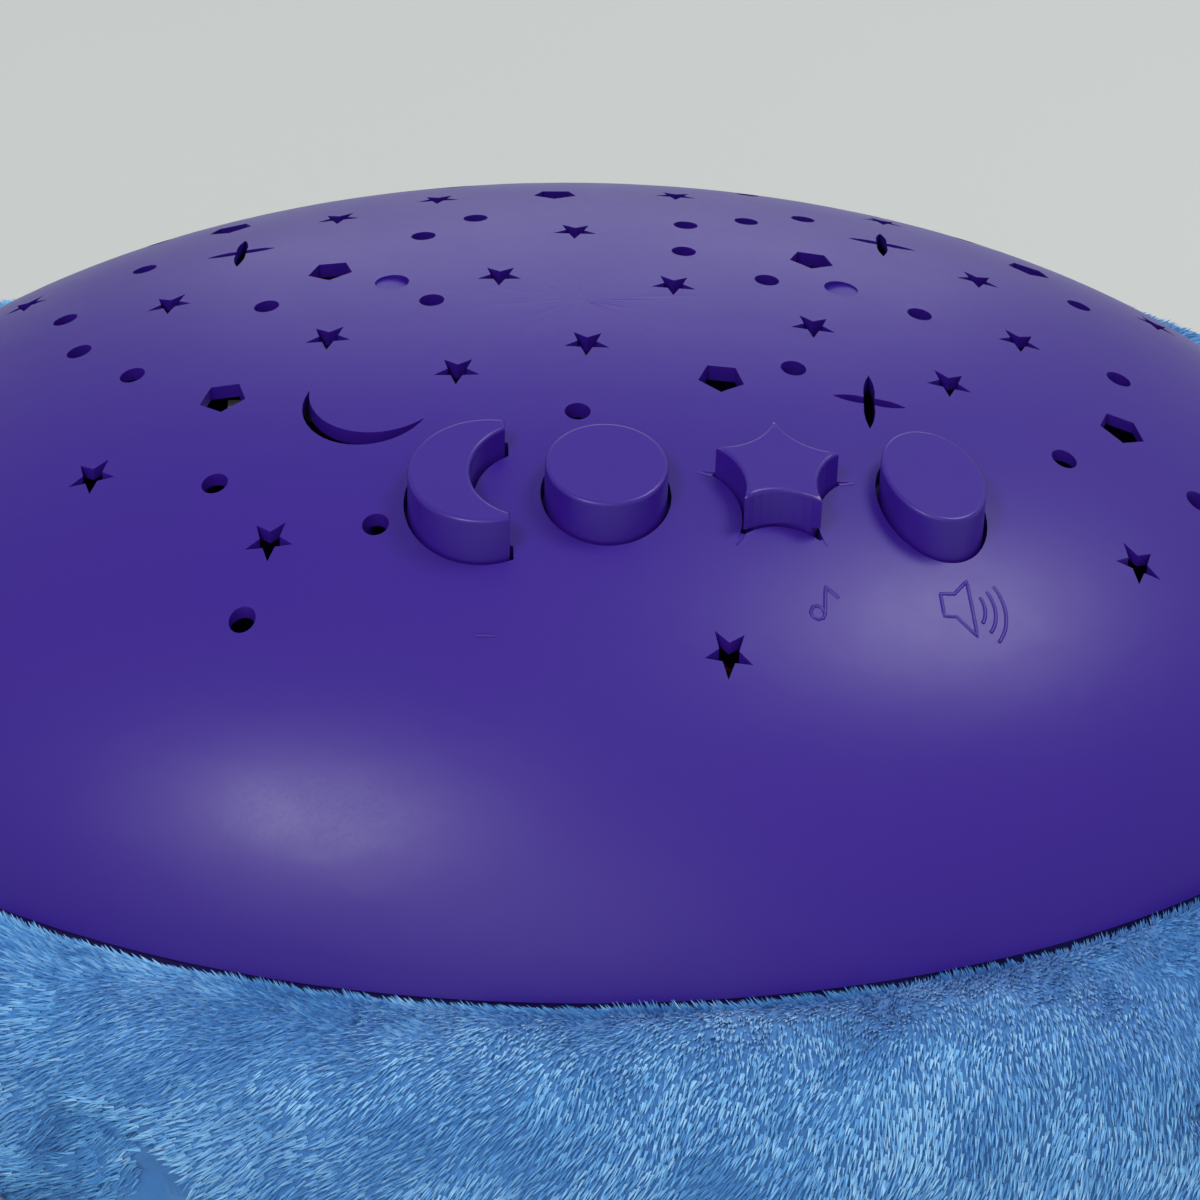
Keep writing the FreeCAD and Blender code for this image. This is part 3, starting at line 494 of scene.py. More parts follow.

# %% [markdown]
# ## The pillow under the shell
#
# The turtle's body is a stuffed ring whose fabric is tucked under the shell's rim.
# Its section is a loop of a few given keys: up the pocket wall, out under the rim and round.
# Each key is a pair of half-axes and a height, because the whole body is an oval.
# Keys make the fabric dip at the rim and crown outside it, which is where the photo's shadow lies.

# %% Section of the pillow
body_x = 15.0
pocket_half_long = 85.7
pocket_narrower = 22.0
narrowing = 0.045
rim_reach, rim_underside = 106.2, 55.1
section_keys = [
    (85.7, 63.7, 3.0), (88.6, 66.6, 20.0), (93.8, 71.8, 38.0), (98.9, 76.9, 53.0),
    (102.5, 80.2, 54.9), (107.3, 84.8, 57.9), (112.2, 89.6, 59.3), (118.5, 95.4, 58.6),
    (125.0, 101.4, 54.4), (130.0, 106.0, 45.2), (132.0, 107.9, 33.5), (131.0, 107.0, 21.0),
    (126.5, 103.0, 10.2), (118.5, 95.8, 3.6), (107.0, 85.0, 1.4), (95.0, 73.2, 1.2),
]


def eased_loop(keys, count):
    """A closed smooth curve through keys, as count points at even parameter steps."""
    keys = np.array(keys, float)
    size = len(keys)
    found = []
    for step in np.arange(count) * size / count:
        i, t = int(step), step % 1.0
        a, b, c, d = (keys[(i + k) % size] for k in (-1, 0, 1, 2))
        found.append(
            b + 0.5 * t * (c - a + t * (2 * a - 5 * b + 4 * c - d + t * (3 * (b - c) + d - a)))
        )
    return np.array(found)


section = eased_loop(section_keys, 64)
under_rim = section[:, 0] < rim_reach
section[:, 2] = np.where(under_rim, np.minimum(section[:, 2], rim_underside), section[:, 2])
print("pillow section:", len(section), "points, crown at", round(section[:, 2].max(), 1), "mm")

# %% Pillow mesh
def ring_mesh(name, section, around):
    """Sweeps the section round the oval into one closed ring of quads, faces outwards."""
    turns = np.linspace(0.0, 2 * np.pi, around, endpoint=False)
    verts = [
        ((body_x + a * math.cos(t)) * mm, b * math.sin(t) * mm, z * mm)
        for t in turns for a, b, z in section
    ]
    size = len(section)
    faces = [
        (i * size + j, i * size + (j + 1) % size,
         (i + 1) % around * size + (j + 1) % size, (i + 1) % around * size + j)
        for i in range(around) for j in range(size)
    ]
    mesh = bpy.data.meshes.new(name)
    mesh.from_pydata(verts, [], faces)
    form = bmesh.new()
    form.from_mesh(mesh)
    bmesh.ops.recalc_face_normals(form, faces=form.faces)
    form.to_mesh(mesh)
    form.free()
    return placed(name, mesh)


pillow = ring_mesh("plush_pillow", section, 192)


def oval_reach(points):
    """The half length, in mm, of the body's oval that passes through each point."""
    x, y = points[:, 0] / mm - body_x, points[:, 1] / mm
    low, high = np.full(len(points), 40.0), np.full(len(points), 200.0)
    for _ in range(24):
        middle = 0.5 * (low + high)
        across = middle - pocket_narrower - narrowing * (middle - pocket_half_long)
        inside = (x / middle) ** 2 + (y / across) ** 2 < 1.0
        low, high = np.where(inside, low, middle), np.where(inside, middle, high)
    return middle


reach = oval_reach(points_of(pillow))
free_from = 111.0
held = np.clip((free_from - reach) / 6.0, 0.0, 1.0)
on_floor = points_of(pillow)[:, 2] < 3.0 * mm
held[on_floor] = 1.0
stuffed(pillow, 3.5 * mm, held, pressure=3.0)
print("pillow:", len(pillow.data.polygons), "quads, held points", int((held > 0.5).sum()))

# %% [markdown]
# ## Limbs, head and tail
#
# Each limb is sewn to the pillow round its root, so the points there are held while it swells.
# The flippers are flat sewn pouches, the head is a fuller ball, and the tail is a small cone.

# %% Stuffed limbs
# Each limb's CAD node, and how far it may swell in mm
limb_forms = {
    "plush_fore_left": ("front_left_flipper", 3.5),
    "plush_fore_right": ("front_right_flipper", 3.5),
    "plush_hind_left": ("rear_left_flipper", 3.0),
    "plush_hind_right": ("rear_right_flipper", 3.0),
    "plush_face": ("plush_head", 2.5),
    "plush_stub": ("plush_tail", 2.0),
}
limb_pressure = 4.0
deepest_inside = 12.0 * mm


def surface_of(piece):
    """A tree for finding the nearest place on a piece."""
    return BVHTree.FromPolygons(
        [v.co for v in piece.data.vertices], [tuple(p.vertices) for p in piece.data.polygons]
    )


def gap_to(tree, points):
    """Each point's distance to a surface, below zero where the point is inside it.
    Only near points can be inside, because past a sharp edge the nearest face may look away."""
    found = np.empty(len(points))
    for index, point in enumerate(points):
        place, normal, _, distance = tree.find_nearest(Vector(point))
        outside = distance > deepest_inside or (Vector(point) - place).dot(normal) >= 0
        found[index] = distance if outside else -distance
    return found


pillow_surface = surface_of(pillow)
limbs = {}
for name, (node, cap) in limb_forms.items():
    limb = copied(name, node, 4.0 * mm)
    near = gap_to(pillow_surface, points_of(limb))
    held = np.clip(1.0 - (near - 3.0 * mm) / (6.0 * mm), 0.0, 1.0)
    stuffed(limb, cap * mm, held, limb_pressure)
    limbs[name] = limb
    print(name, len(limb.data.polygons), "quads")

# %% [markdown]
# ## Heavy tips
#
# A stuffed flipper is not stiff, so past its root it sinks until its tip rests on the floor.
# The upper side sinks most, which also flattens the pouch as its own weight would.

# %% Let the flippers sink
flipper_sinking = {
    "plush_fore_left": 9.0, "plush_fore_right": 9.0,
    "plush_hind_left": 10.0, "plush_hind_right": 10.0,
}
for name, sinking in flipper_sinking.items():
    limb = limbs[name]
    points = points_of(limb)
    past_root = np.clip((gap_to(pillow_surface, points) - 1.0 * mm) / (18.0 * mm), 0, 1)
    height_share = np.clip((points[:, 2] - 4.0 * mm) / (20.0 * mm), 0, 1)
    points[:, 2] -= sinking * mm * past_root * (2 - past_root) * height_share
    move_to(limb, points)
print("flippers sunk by up to", max(flipper_sinking.values()), "mm")

# %% [markdown]
# ## Seams
#
# A seam on plush is a soft valley, because the thread pulls both fabrics in.
# The roots of the limbs are gathered as well, so small radial puckers run out of the valley.
# Grooves come after the last subdivision, since a remesh or a subdivision would soften them away.
# The pillow has one seam round its middle, and the head has one over its crown.

# %% Seams and gathers
def sink(piece, depth):
    """Moves each point inwards by its own depth in metres."""
    move_to(piece, points_of(piece) - normals_of(piece) * np.asarray(depth)[:, None])


def gathered(points, centre, axis, count, seed):
    """A wave from 0 to 1 round an axis, uneven like hand gathers."""
    centre, axis = np.array(centre), np.array(axis, float)
    axis /= np.linalg.norm(axis)
    side = np.cross(axis, (0.0, 0.0, 1.0))
    side /= np.linalg.norm(side)
    up = np.cross(side, axis)
    away = points - centre
    turn = np.arctan2(away @ up, away @ side)
    finer_count = int(count * 1.7)
    return (0.5 + 0.3 * np.sin(count * turn + seed)
            + 0.2 * np.sin(finer_count * turn + 2.3 * seed))


def valley_along(distance, width):
    """1 on a line and falling off smoothly over a width to both sides."""
    return np.exp(-((distance / width) ** 2))


finer(pillow)
for limb in limbs.values():
    finer(limb)

pillow_points = points_of(pillow)
pillow_depth = np.zeros(len(pillow_points))
pillow_surface = surface_of(pillow)
for seed, limb in enumerate(limbs.values()):
    points = points_of(limb)
    near = gap_to(pillow_surface, points)
    root = points[np.abs(near) < 3.0 * mm].mean(0)
    tip = points[np.argmax(np.linalg.norm(points - root, axis=1))]
    limb["root"], limb["tip"] = list(root), list(tip)
    waves = gathered(points, root, tip - root, 11, seed + 1.0)
    outside = np.maximum(near, 0)
    valley, puckers = valley_along(outside, 3.2 * mm), valley_along(outside, 11.0 * mm)
    sink(limb, (1.9 * valley + 1.1 * puckers * waves) * mm)
    from_limb = gap_to(surface_of(limb), pillow_points)
    waves = gathered(pillow_points, root, tip - root, 13, seed + 3.0)
    outside = np.maximum(from_limb, 0)
    valley, puckers = valley_along(outside, 3.2 * mm), valley_along(outside, 10.0 * mm)
    pillow_depth += (1.7 * valley + 0.9 * waves * puckers) * mm

reach = oval_reach(pillow_points)
waist_height = 31.0 * mm
waist = valley_along(pillow_points[:, 2] - waist_height, 2.2 * mm) * (reach > 120.0)
turn = np.arctan2(pillow_points[:, 1], pillow_points[:, 0] - body_x * mm)
pillow_depth += waist * (1.3 + 0.3 * np.sin(47 * turn)) * mm
pillow_depth *= np.clip((reach - 107.5) / 3.0, 0.0, 1.0) * (pillow_points[:, 2] > 2.0 * mm)
sink(pillow, np.clip(pillow_depth, 0, 3.2 * mm))

face = limbs["plush_face"]
points = points_of(face)
nape_x = -88.0 * mm
crown = valley_along(points[:, 1], 1.8 * mm) * (points[:, 0] < nape_x)
sink(face, crown * 0.9 * mm)
for name in flipper_sinking:
    limb = limbs[name]
    edge = valley_along(normals_of(limb)[:, 2], 0.22)
    near = gap_to(pillow_surface, points_of(limb))
    sink(limb, edge * 0.8 * mm * np.clip(near / (6 * mm), 0, 1))
print("seams sunk; deepest on the pillow", round(float(pillow_depth.max()) / mm, 2), "mm")

# %% [markdown]
# ## Broad folds
#
# The photo shows the fabric rising into a soft ridge in front of the shell's rim.
# Slow noise in the fabric's own scale gives the uneven crown that loose stuffing has.

# %% Uneven stuffing
def lumped(piece, height, size, mask, seed):
    """Raises slow lumps of a given size on the piece, in metres."""
    points, normals = points_of(piece), normals_of(piece)
    shift = Vector((seed * 3.1, seed * 1.7, seed * 0.9))
    lumps = np.array([noise.noise(Vector(p) / size + shift) for p in points])
    move_to(piece, points + normals * (lumps * height * mask)[:, None])


pillow_points = points_of(pillow)
free = np.clip((oval_reach(pillow_points) - 108.0) / 6.0, 0, 1) * (pillow_points[:, 2] > 3 * mm)
lumped(pillow, 1.6 * mm, 24 * mm, free, 1)
lumped(pillow, 0.5 * mm, 8 * mm, free, 2)
for seed, limb in enumerate(limbs.values()):
    points = points_of(limb)
    lumped(limb, 1.4 * mm, 20 * mm, np.ones(len(points)), 5 + seed)
    lumped(limb, 0.45 * mm, 7 * mm, np.ones(len(points)), 15 + seed)
print("uneven stuffing done")

# %% [markdown]
# ## Geometry Nodes helper
#
# The same Wire class writes geometry trees, because a field is wired just as a shader value is.
# A tree's inputs are named here, and a modifier sets them by their identifiers.

# %% Tree helper
def new_tree(name, inputs):
    """A geometry tree with named inputs. Returns it and a dict of Wires for them."""
    tree = bpy.data.node_groups.new(name, "GeometryNodeTree")
    tree.interface.new_socket("Geometry", in_out="INPUT", socket_type="NodeSocketGeometry")
    for label, kind, value in inputs:
        socket = tree.interface.new_socket(label, in_out="INPUT", socket_type="NodeSocket" + kind)
        if value is not None:
            socket.default_value = value
    tree.interface.new_socket("Geometry", in_out="OUTPUT", socket_type="NodeSocketGeometry")
    entry = tree.nodes.new("NodeGroupInput")
    return tree, {s.name: Wire(tree, s) for s in entry.outputs if s.name}


def end_tree(result):
    """Ends a tree in one Wire's geometry."""
    result.tree.links.new(result.socket, result.tree.nodes.new("NodeGroupOutput").inputs[0])


def grown(name, source, tree, values):
    """Runs a tree on a copy of source and returns the result as one plain mesh object."""
    trial = placed(name + "_trial", source.data.copy())
    modifier = trial.modifiers.new(tree.name, "NODES")
    modifier.node_group = tree
    for item in tree.interface.items_tree:
        if item.in_out == "INPUT" and item.name in values:
            modifier[item.identifier] = values[item.name]
    made = modified_mesh(trial)
    made.name = name
    bpy.data.objects.remove(trial)
    return placed(name, made)


print("tree helper ready")

# %% [markdown]
# ## Pile
#
# The coat is made of short tapered fibres, each a three-sided spike with no base.
# Points are scattered where the pile mask allows, and the fibres lean along a combed direction.
# Slow noise turns that direction, which makes the clumps and light and dark strokes of real nap.
# The shade of each fibre follows a slower noise of its own, which paints whole strokes pale as a
# nap sheen, and a little chance adds a random tone.

# %% Pile tree
pile_tree, pin = new_tree("pile", [
    ("Fibres per square metre", "Float", 2.0e6), ("Length", "Float", 1.5 * mm),
    ("Thickness", "Float", 0.21 * mm), ("Lean", "Float", 1.7), ("Unrest", "Float", 0.8),
    ("Seed", "Int", 1), ("Deep", "Material", None), ("Mid", "Material", None),
    ("Light", "Material", None), ("Pale", "Material", None),
])
start = pin["Geometry"]


def vector_maths(operation, a, b=None, scale=None):
    sockets = {0: a}
    if b is not None:
        sockets[1] = b
    if scale is not None:
        sockets["Scale"] = scale
    return start.node("ShaderNodeVectorMath", {"operation": operation}, sockets)


def stored(name, kind="FLOAT"):
    return start.node("GeometryNodeInputNamedAttribute", {"data_type": kind}, {"Name": name})


mask, nap = stored("pile"), stored("nap", "FLOAT_VECTOR")
scatter = start.node(
    "GeometryNodeDistributePointsOnFaces", {"distribute_method": "RANDOM"},
    {"Mesh": start, "Density": pin["Fibres per square metre"] * mask, "Seed": pin["Seed"]},
)
upright = Wire(pile_tree, scatter.socket.node.outputs["Normal"])
place = start.node("GeometryNodeInputPosition")
clump = start.node(
    "ShaderNodeTexNoise", {}, {"Vector": place, "Scale": 135.0, "Detail": 2.0}, out=1
)
centred = vector_maths("SUBTRACT", clump, (0.5, 0.5, 0.5))
swirl = vector_maths("SCALE", centred, scale=pin["Unrest"] * 3.0)
spread = 0.22
jitter = start.node(
    "FunctionNodeRandomValue", {"data_type": "FLOAT_VECTOR"},
    {"Min": (-spread,) * 3, "Max": (spread,) * 3, "Seed": pin["Seed"] + 7},
)
combed = vector_maths("SCALE", nap, scale=pin["Lean"])
laid = vector_maths("ADD", upright, combed)
heading = vector_maths("ADD", laid, vector_maths("ADD", swirl, jitter))
leaning = start.node(
    "FunctionNodeAlignRotationToVector", {"axis": "Z"}, {"Vector": heading}
)
spike = start.node(
    "GeometryNodeMeshCone", {"fill_type": "NONE"},
    {"Vertices": 3, "Side Segments": 1, "Radius Top": 0.0,
     "Radius Bottom": pin["Thickness"], "Depth": pin["Length"]},
)
size = start.node(
    "FunctionNodeRandomValue", {"data_type": "FLOAT"},
    {2: 0.65, 3: 1.15, "Seed": pin["Seed"] + 11}, out=1,
)
fibres = start.node(
    "GeometryNodeInstanceOnPoints", {},
    {"Points": scatter, "Instance": spike, "Rotation": leaning, "Scale": size},
)
# Painted nap sheen: slow noise that makes whole strokes of fibres pale, added to a random tone per
# fibre.
painted_sheen_strokes = start.node("ShaderNodeTexNoise", {}, {"Vector": place, "Scale": 70.0, "Detail": 4.0})
chance = start.node(
    "FunctionNodeRandomValue", {"data_type": "FLOAT"},
    {2: -spread, 3: spread, "Seed": pin["Seed"] + 3}, out=1,
)
shaded = start.node(
    "GeometryNodeStoreNamedAttribute", {"data_type": "FLOAT", "domain": "INSTANCE"},
    {"Geometry": fibres, "Name": "shade", "Value": painted_sheen_strokes + chance},
)
coat = start.node("GeometryNodeRealizeInstances", {}, {"Geometry": shaded})
# The shade value, painted sheen plus random tone, picks the paler fibre colours above each step.
shade = stored("shade")
coat = start.node("GeometryNodeSetMaterial", {}, {"Geometry": coat, "Material": pin["Deep"]})
for label, above in (("Mid", 0.42), ("Light", 0.52), ("Pale", 0.66)):
    coat = start.node(
        "GeometryNodeSetMaterial", {},
        {"Geometry": coat, "Selection": shade > above, "Material": pin[label]},
    )
end_tree(coat)
print("pile tree:", len(pile_tree.nodes), "nodes")

# %% [markdown]
# ## Growing the pile
#
# Every stuffed piece gets a mask and a combed direction as attributes on its points.
# No pile grows where fabric is clamped, inside another piece, or where it lies on the floor.
# On the pillow the nap runs outwards from the shell, and on a limb it runs from root to tip.
# The pillow's coat is laid in four quarters, which keeps each piece of pile light.

# %% Masks and directions
def mark(piece, name, kind, values):
    attribute = piece.data.attributes.new(name, kind, "POINT")
    field = "vector" if kind == "FLOAT_VECTOR" else "value"
    attribute.data.foreach_set(field, np.asarray(values, np.float32).ravel())


def laid_flat(flow, normals):
    """The part of a flow that lies in the surface, at unit length."""
    flow = flow - normals * (flow * normals).sum(1, keepdims=True)
    return flow / np.maximum(np.linalg.norm(flow, axis=1, keepdims=True), 1e-9)


hidden_below = -1.6 * mm
bare_reach = 106.1


def prepare(piece, flow, allowed):
    normals = normals_of(piece)
    height = points_of(piece)[:, 2]
    floor_side = np.clip((height - 1.5 * mm) / (3.0 * mm), 0, 1) * (normals[:, 2] > -0.97)
    mark(piece, "nap", "FLOAT_VECTOR", laid_flat(flow, normals))
    mark(piece, "pile", "FLOAT", allowed * floor_side)


points = points_of(pillow)
outwards = points - np.array((body_x * mm, 0.0, 0.0))
outwards[:, 2] = -0.012
sideways = np.stack([-outwards[:, 1], outwards[:, 0], 0 * outwards[:, 0]], 1)
inside_limb = np.ones(len(points))
for limb in limbs.values():
    inside_limb *= gap_to(surface_of(limb), points) > hidden_below
prepare(
    pillow, outwards - 0.5 * sideways,
    np.clip((oval_reach(points) - bare_reach) / 0.4, 0, 1) * inside_limb,
)
pillow_surface = surface_of(pillow)
for limb in limbs.values():
    points = points_of(limb)
    along = np.array(limb["tip"]) - np.array(limb["root"])
    along = along / np.linalg.norm(along)
    if limb.name == "plush_face":
        along = -along
    flow = np.tile(along, (len(points), 1)) + np.array((0.0, 0.0, -0.35))
    prepare(limb, flow, (gap_to(pillow_surface, points) > hidden_below).astype(float))
print("masks and directions stored on", 1 + len(limbs), "pieces")

# %% Grow the pile
pile_pieces = []


def coated(name, source, seed, density):
    values = {
        "Fibres per square metre": density, "Length": 1.6 * mm, "Seed": seed,
        "Deep": pile_shades[0], "Mid": pile_shades[1],
        "Light": pile_shades[2], "Pale": pile_shades[3],
    }
    coat = grown(name, source, pile_tree, values)
    for leftover in ("shade", "pile", "nap"):
        if leftover in coat.data.attributes:
            coat.data.attributes.remove(coat.data.attributes[leftover])
    pile_pieces.append(coat)
    print(name, len(coat.data.polygons), "faces")


points = points_of(pillow)
turn = np.degrees(np.arctan2(points[:, 1], points[:, 0] - body_x * mm)) % 360
whole_mask = np.array([v.value for v in pillow.data.attributes["pile"].data])
pillow_density, limb_density = 4.6e6, 3.2e6
for order, side in enumerate(("tail_side", "far_side", "head_side", "near_side")):
    quarter = np.abs((turn - 90 * order + 180) % 360 - 180) <= 45.0
    quarter_mask = (whole_mask * quarter).astype(np.float32)
    pillow.data.attributes["pile"].data.foreach_set("value", quarter_mask)
    coated("pile_" + side, pillow, 20 + order, pillow_density)
for seed, (name, limb) in enumerate(limbs.items()):
    coated(name.replace("plush", "pile"), limb, 40 + seed, limb_density)
print("pile faces in all:", sum(len(p.data.polygons) for p in pile_pieces))

# %% [markdown]
# ## Threads
#
# Embroidery and moulded lines are both a round bead that follows a line on a surface.
# Each line is a poly curve whose points were dropped onto the surface by a ray.
# One small tree sweeps a round section along every line and sets the material.

# %% Thread tree
thread_tree, tin = new_tree("thread", [
    ("Radius", "Float", 0.3 * mm), ("Sides", "Int", 6), ("Finish", "Material", None),
])
start = tin["Geometry"]
profile = start.node(
    "GeometryNodeCurvePrimitiveCircle", {}, {"Resolution": tin["Sides"], "Radius": tin["Radius"]}
)
swept = start.node(
    "GeometryNodeCurveToMesh", {}, {"Curve": start, "Profile Curve": profile, "Fill Caps": True}
)
swept = start.node("GeometryNodeSetShadeSmooth", {}, {"Geometry": swept})
swept = start.node("GeometryNodeRealizeInstances", {}, {"Geometry": swept})
end_tree(start.node("GeometryNodeSetMaterial", {}, {"Geometry": swept, "Material": tin["Finish"]}))


def threads(name, lines, radius, finish, sides=6):
    """One mesh of beads along lines, each line a list of points in metres."""
    curve = bpy.data.curves.new(name, "CURVE")
    curve.dimensions = "3D"
    for line in lines:
        spline = curve.splines.new("POLY")
        spline.points.add(len(line) - 1)
        for point, place in zip(spline.points, line):
            point.co = (*place, 1.0)
    source = placed(name + "_lines", curve)
    values = {"Radius": radius, "Sides": sides, "Finish": finish}
    piece = grown(name, source, thread_tree, values)
    bpy.data.objects.remove(source)
    print(name, len(lines), "lines,", len(piece.data.polygons), "faces")
    return piece


print("thread tree:", len(thread_tree.nodes), "nodes")

# %% [markdown]
# ## Embroidered eyes
#
# A safe toy for a baby has no hard eyes, so they are satin stitch.
# Close upright threads cross a tilted oval, and a small pale patch on top is the glint.
# The threads bulge in the middle, because real satin stitch is padded from below.

# %% Eyes
face_surface = surface_of(face)


def on_face(along, height, side, lift):
    """Drops a point sideways onto the head, lifted off the fabric a little."""
    place, normal, _, _ = face_surface.ray_cast(
        Vector((along, side * 0.08, height)), Vector((0.0, -side, 0.0))
    )
    return (place + normal * lift) if place is not None else None


eye_tilt = 0.15


def satin(middle, half_long, half_high, side, spacing, lift):
    """Upright threads across a tilted oval on one side of the head."""
    lines = []
    steps = int(half_long / spacing)
    for i in range(-steps, steps + 1):
        u = i * spacing
        reach_up = half_high * math.sqrt(max(0.0, 1 - (u / half_long) ** 2))
        if reach_up < 0.4 * mm:
            continue
        line = []
        for v in np.linspace(-reach_up, reach_up, 9):
            bulge = lift * (1 - 0.7 * (v / reach_up) ** 2)
            x = middle[0] + u * math.cos(eye_tilt) - v * math.sin(eye_tilt)
            z = middle[1] + u * math.sin(eye_tilt) + v * math.cos(eye_tilt)
            place = on_face(x, z, side, bulge)
            if place is not None:
                line.append(place)
        if len(line) > 2:
            lines.append(line)
    return lines


eye_middle, glint_middle = (-150 * mm, 62 * mm), (-152 * mm, 65 * mm)
eye_lines, glint_lines = [], []
for side in (-1, 1):
    eye_lines += satin(eye_middle, 5.2 * mm, 6.8 * mm, side, 0.42 * mm, 1.9 * mm)
    glint_lines += satin(glint_middle, 1.6 * mm, 1.9 * mm, side, 0.36 * mm, 2.4 * mm)
eyes = threads("eye_stitches", eye_lines, 0.34 * mm, eye_thread)
glints = threads("glint_stitches", glint_lines, 0.3 * mm, glint_thread)

# %% [markdown]
# ## Marks beside the buttons
#
# Beside the buttons the mould leaves faint raised marks: a loudspeaker, a note and a short bar.
# They are hairline beads, almost sunk in the shell, so they only show where the light grazes.

# %% Moulded marks
dome = nodes["star_dome"]
dome_surface = surface_of(dome)


above, downwards = 0.2, Vector((0.0, 0.0, -1.0))


def on_dome(x, y, sunk):
    """The place on the dome at a plan point in mm, sunk into it."""
    place, normal, _, _ = dome_surface.ray_cast(Vector((x * mm, y * mm, above)), downwards)
    return place - normal * sunk


def drawn(points, sunk):
    """A line through plan points in mm, filled in every 0.45 mm and dropped on the dome."""
    line = []
    for (x0, y0), (x1, y1) in zip(points, points[1:]):
        steps = max(1, int(math.hypot(x1 - x0, y1 - y0) / 0.45))
        for k in range(steps):
            line.append(on_dome(x0 + (x1 - x0) * k / steps, y0 + (y1 - y0) * k / steps, sunk))
    line.append(on_dome(*points[-1], sunk))
    return line


def arc(x, y, radius, low, high):
    return [
        (x + radius * math.cos(math.radians(t)), y + radius * math.sin(math.radians(t)))
        for t in np.linspace(low, high, 9)
    ]


bead, sunk = 0.26 * mm, 0.10 * mm
horn = [
    (52.3, -47.2), (52.5, -49.8), (53.9, -49.6),
    (56.1, -51.4), (55.5, -45.0), (53.9, -46.9), (52.3, -47.2),
]
waves_of_sound = [
    arc(54.4, -48.2, radius, -half, half) for radius, half in ((2.9, 32), (4.1, 36), (5.3, 38))
]
note = [arc(38.1, -51.6, 0.8, 0, 360), [(38.9, -51.6), (39.2, -48.4), (40.6, -49.6)]]
bar = [(0.2, -54.6), (2.4, -54.8)]
mark_lines = [drawn(points, sunk) for points in (horn, *waves_of_sound, *note, bar)]
marks = threads("moulded_marks", mark_lines, bead, shell_plastic, sides=8)

# %% [markdown]
# ## The star button's cap
#
# The star in the frame has well rounded tips, and the real one fills more of its opening.
# So a cap with longer arms is drawn over the stem.
# It follows the same five arcs as the opening, set in.
# Small wedges close the thin slits that are left at the opening's corners.

# %% Star cap and corners
star_x, star_y = body_x + 19.8, -36.2
arc_far, arc_radius = 11.89, 7.04


def star_loop(inset, blunt, count=9):
    """Plan points of the star, set in from its opening, each sharp tip cut back by blunt."""
    radius = arc_radius + inset
    flat = arc_far * math.cos(math.radians(36))
    tip = flat - math.sqrt(flat ** 2 - arc_far ** 2 + radius ** 2) - blunt
    swing = math.acos((arc_far ** 2 + radius ** 2 - tip ** 2) / (2 * arc_far * radius))
    points = []
    for arm in range(5):
        valley = math.radians(90 + 36 + 72 * arm)
        cx, cy = star_x + arc_far * math.cos(valley), star_y + arc_far * math.sin(valley)
        for k in range(count):
            turn = valley + math.pi + swing * (1 - 2 * k / (count - 1))
            points.append((cx + radius * math.cos(turn), cy + radius * math.sin(turn)))
    return points


stem_surface = surface_of(nodes["star_button"])


def stem_top(x, y):
    return stem_surface.ray_cast(Vector((x * mm, y * mm, above)), downwards)[0].z / mm


level = stem_top(star_x, star_y)
slope_x = (stem_top(star_x + 2, star_y) - stem_top(star_x - 2, star_y)) / 4
slope_y = (stem_top(star_x, star_y + 2) - stem_top(star_x, star_y - 2)) / 4


def lofted(name, loops, finish):
    """Closes a stack of plan loops with heights into one solid, faces outwards."""
    form = bmesh.new()
    rings = [[form.verts.new((x * mm, y * mm, z * mm)) for x, y, z in loop] for loop in loops]
    for lower, upper in zip(rings, rings[1:]):
        for k in range(len(lower)):
            form.faces.new((lower[k], lower[k - 1], upper[k - 1], upper[k]))
    form.faces.new(rings[0])
    form.faces.new(rings[-1])
    bmesh.ops.recalc_face_normals(form, faces=form.faces)
    mesh = bpy.data.meshes.new(name)
    form.to_mesh(mesh)
    form.free()
    mesh.materials.append(finish)
    return placed(name, mesh)


def on_top(loop, drop):
    """The loop at the stem's sloping top, raised a hair and lowered by drop."""
    return [
        (x, y, level + 0.03 + slope_x * (x - star_x) + slope_y * (y - star_y) - drop)
        for x, y in loop
    ]


star_cap = lofted("star_cap", [
    [(x, y, level - 5.2) for x, y in star_loop(0.26, 0.25)],
    on_top(star_loop(0.26, 0.25), 0.42),
    on_top(star_loop(0.30, 0.30), 0.22),
    on_top(star_loop(0.42, 0.42), 0.06),
    on_top(star_loop(0.62, 0.62), 0.0),
], button_plastic)
corner_plan = ((7.62, -0.45), (7.52, 0.0), (7.62, 0.45), (9.3, 0.45), (9.3, -0.45))
corner_near, corner_far, beside = 7.6, 9.3, 1.6
star_corners = []
for arm in range(5):
    turn = math.radians(90 + 72 * arm)
    out, side = (math.cos(turn), math.sin(turn)), (-math.sin(turn), math.cos(turn))

    def at_arm(r, w):
        """Plan point at r along this arm and w to its side."""
        return star_x + out[0] * r + side[0] * w, star_y + out[1] * r + side[1] * w

    near_z, far_z = (
        sum(on_dome(*at_arm(r, w), 0.0).z / mm for w in (beside, -beside)) / 2
        for r in (corner_near, corner_far)
    )
    tops = [far_z if r == corner_far else near_z for r, _ in corner_plan]
    plan = [at_arm(r, w) for r, w in corner_plan]
    star_corners.append(lofted(f"star_corner_{arm + 1}", [
        [(x, y, z - down) for (x, y), z in zip(plan, tops)] for down in (1.9, 0.03)
    ], shell_plastic))
print("star cap:", len(star_cap.data.polygons), "faces, corners:", len(star_corners))
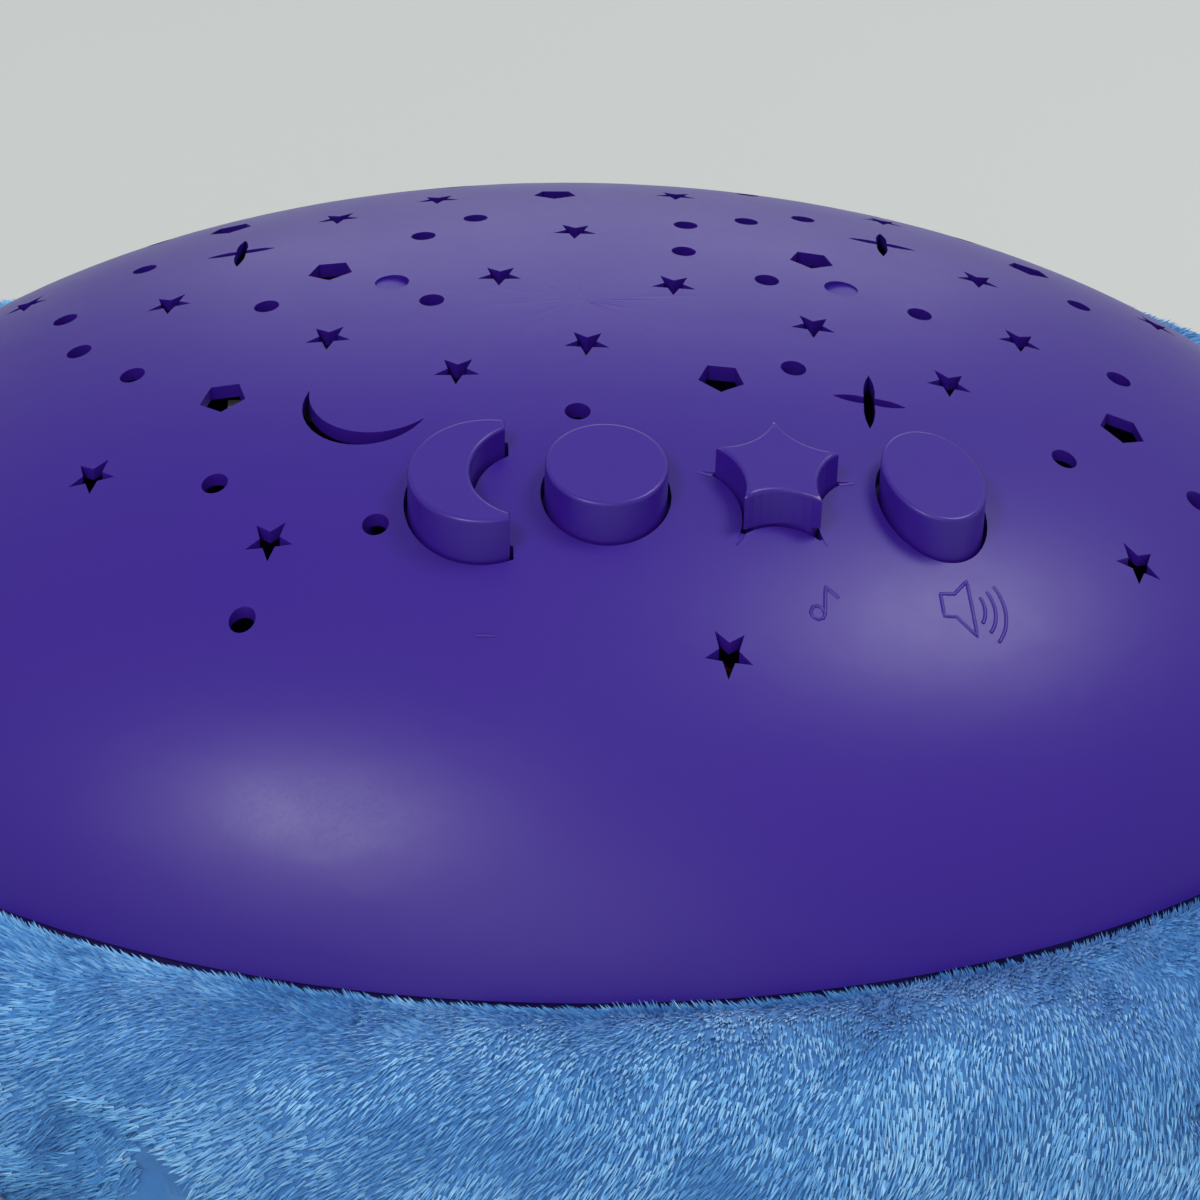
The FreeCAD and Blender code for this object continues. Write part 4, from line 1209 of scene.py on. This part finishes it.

# %% [markdown]
# ## Attaching the new pieces
#
# The star cap rides on its button, and every other new piece on the housing's body.
# A stuffed piece also hides the CAD node that it stands for.

# %% Ride and replace
stands_for = {"plush_pillow": "plush_body"}
stands_for.update({name: node for name, (node, _) in limb_forms.items()})
padded_pieces = [pillow, *limbs.values()]
for piece in padded_pieces:
    piece.data.materials.clear()
    piece.data.materials.append(ground_fabric)
    piece.data.shade_smooth()
    for leftover in ("pile", "nap"):
        piece.data.attributes.remove(piece.data.attributes[leftover])
    piece.vertex_groups.clear()
    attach(piece, "night_light")
    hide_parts(stands_for[piece.name])
for piece in pile_pieces:
    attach(piece, "night_light")
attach(star_cap, "star_button_body")
for piece in star_corners:
    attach(piece, "night_light")
stitched = ((eyes, "blue_plush"), (glints, "blue_plush"), (marks, "purple_plastic"))
for piece, slot_name in stitched:
    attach(piece, "night_light")
made_here = len(padded_pieces) + len(pile_pieces) + 1 + len(star_corners) + len(stitched)
print("pieces handed over:", made_here)

# %% [markdown]
# ## Floor and light
#
# The floor is a plain pale sheet, as wide as any view needs, and the world has the same tone.
# Most of the light is that even world, so a colour renders about as it is written.
# One soft box stands to the left of the camera and one to the right, above the shell.
# Their mirror directions were worked out from the two broad highlights in the photo.

# %% Stage
floor_mesh = bpy.data.meshes.new("floor")
floor_mesh.from_pydata([(-6, -6, 0), (6, -6, 0), (6, 6, 0), (-6, 6, 0)], [], [(0, 1, 2, 3)])
floor = placed("floor", floor_mesh)
floor_finish, shader, wire = new_finish("floor_sheet")
tone = noise_at(wire, places(wire), 3.0, 2.0)
feed(
    wire, shader,
    Base_Color=mixed(wire, tone, linear(209, 211, 210), linear(206, 209, 207)),
    Roughness=0.9, Specular_IOR_Level=0.1,
)
floor_mesh.materials.append(floor_finish)

world = bpy.data.worlds.new("room")
scene.world = world
world.use_nodes = True
background = world.node_tree.nodes["Background"]
background.inputs["Color"].default_value = (0.97, 1.0, 0.99, 1.0)
background.inputs["Strength"].default_value = 0.48


def softbox(name, azimuth, elevation, distance, side, power):
    """A square lamp aimed at the shell. Azimuth 0 is the camera's side, positive to its right."""
    turn, rise = math.radians(azimuth), math.radians(elevation)
    flat = math.cos(rise)
    away = Vector((math.sin(turn) * flat, -math.cos(turn) * flat, math.sin(rise)))
    lamp_data = bpy.data.lights.new(name, "AREA")
    lamp_data.shape, lamp_data.size, lamp_data.energy = "SQUARE", side, power
    lamp = placed(name, lamp_data)
    aim = Vector((0.015, 0.0, 0.07))
    turned = away.to_track_quat("Z", "Y").to_matrix().to_4x4()
    lamp.matrix_world = Matrix.Translation(aim + away * distance) @ turned


softbox("key_left", -36, 46, 1.2, 0.28, 4.6)
softbox("key_right", 100, 60, 1.2, 0.34, 4.6)
softbox("back_sheet", 176, 22, 1.4, 0.8, 1.8)
softbox("front_sheet", -4, 30, 1.4, 0.7, 1.6)
scene.view_settings.view_transform = "Standard"
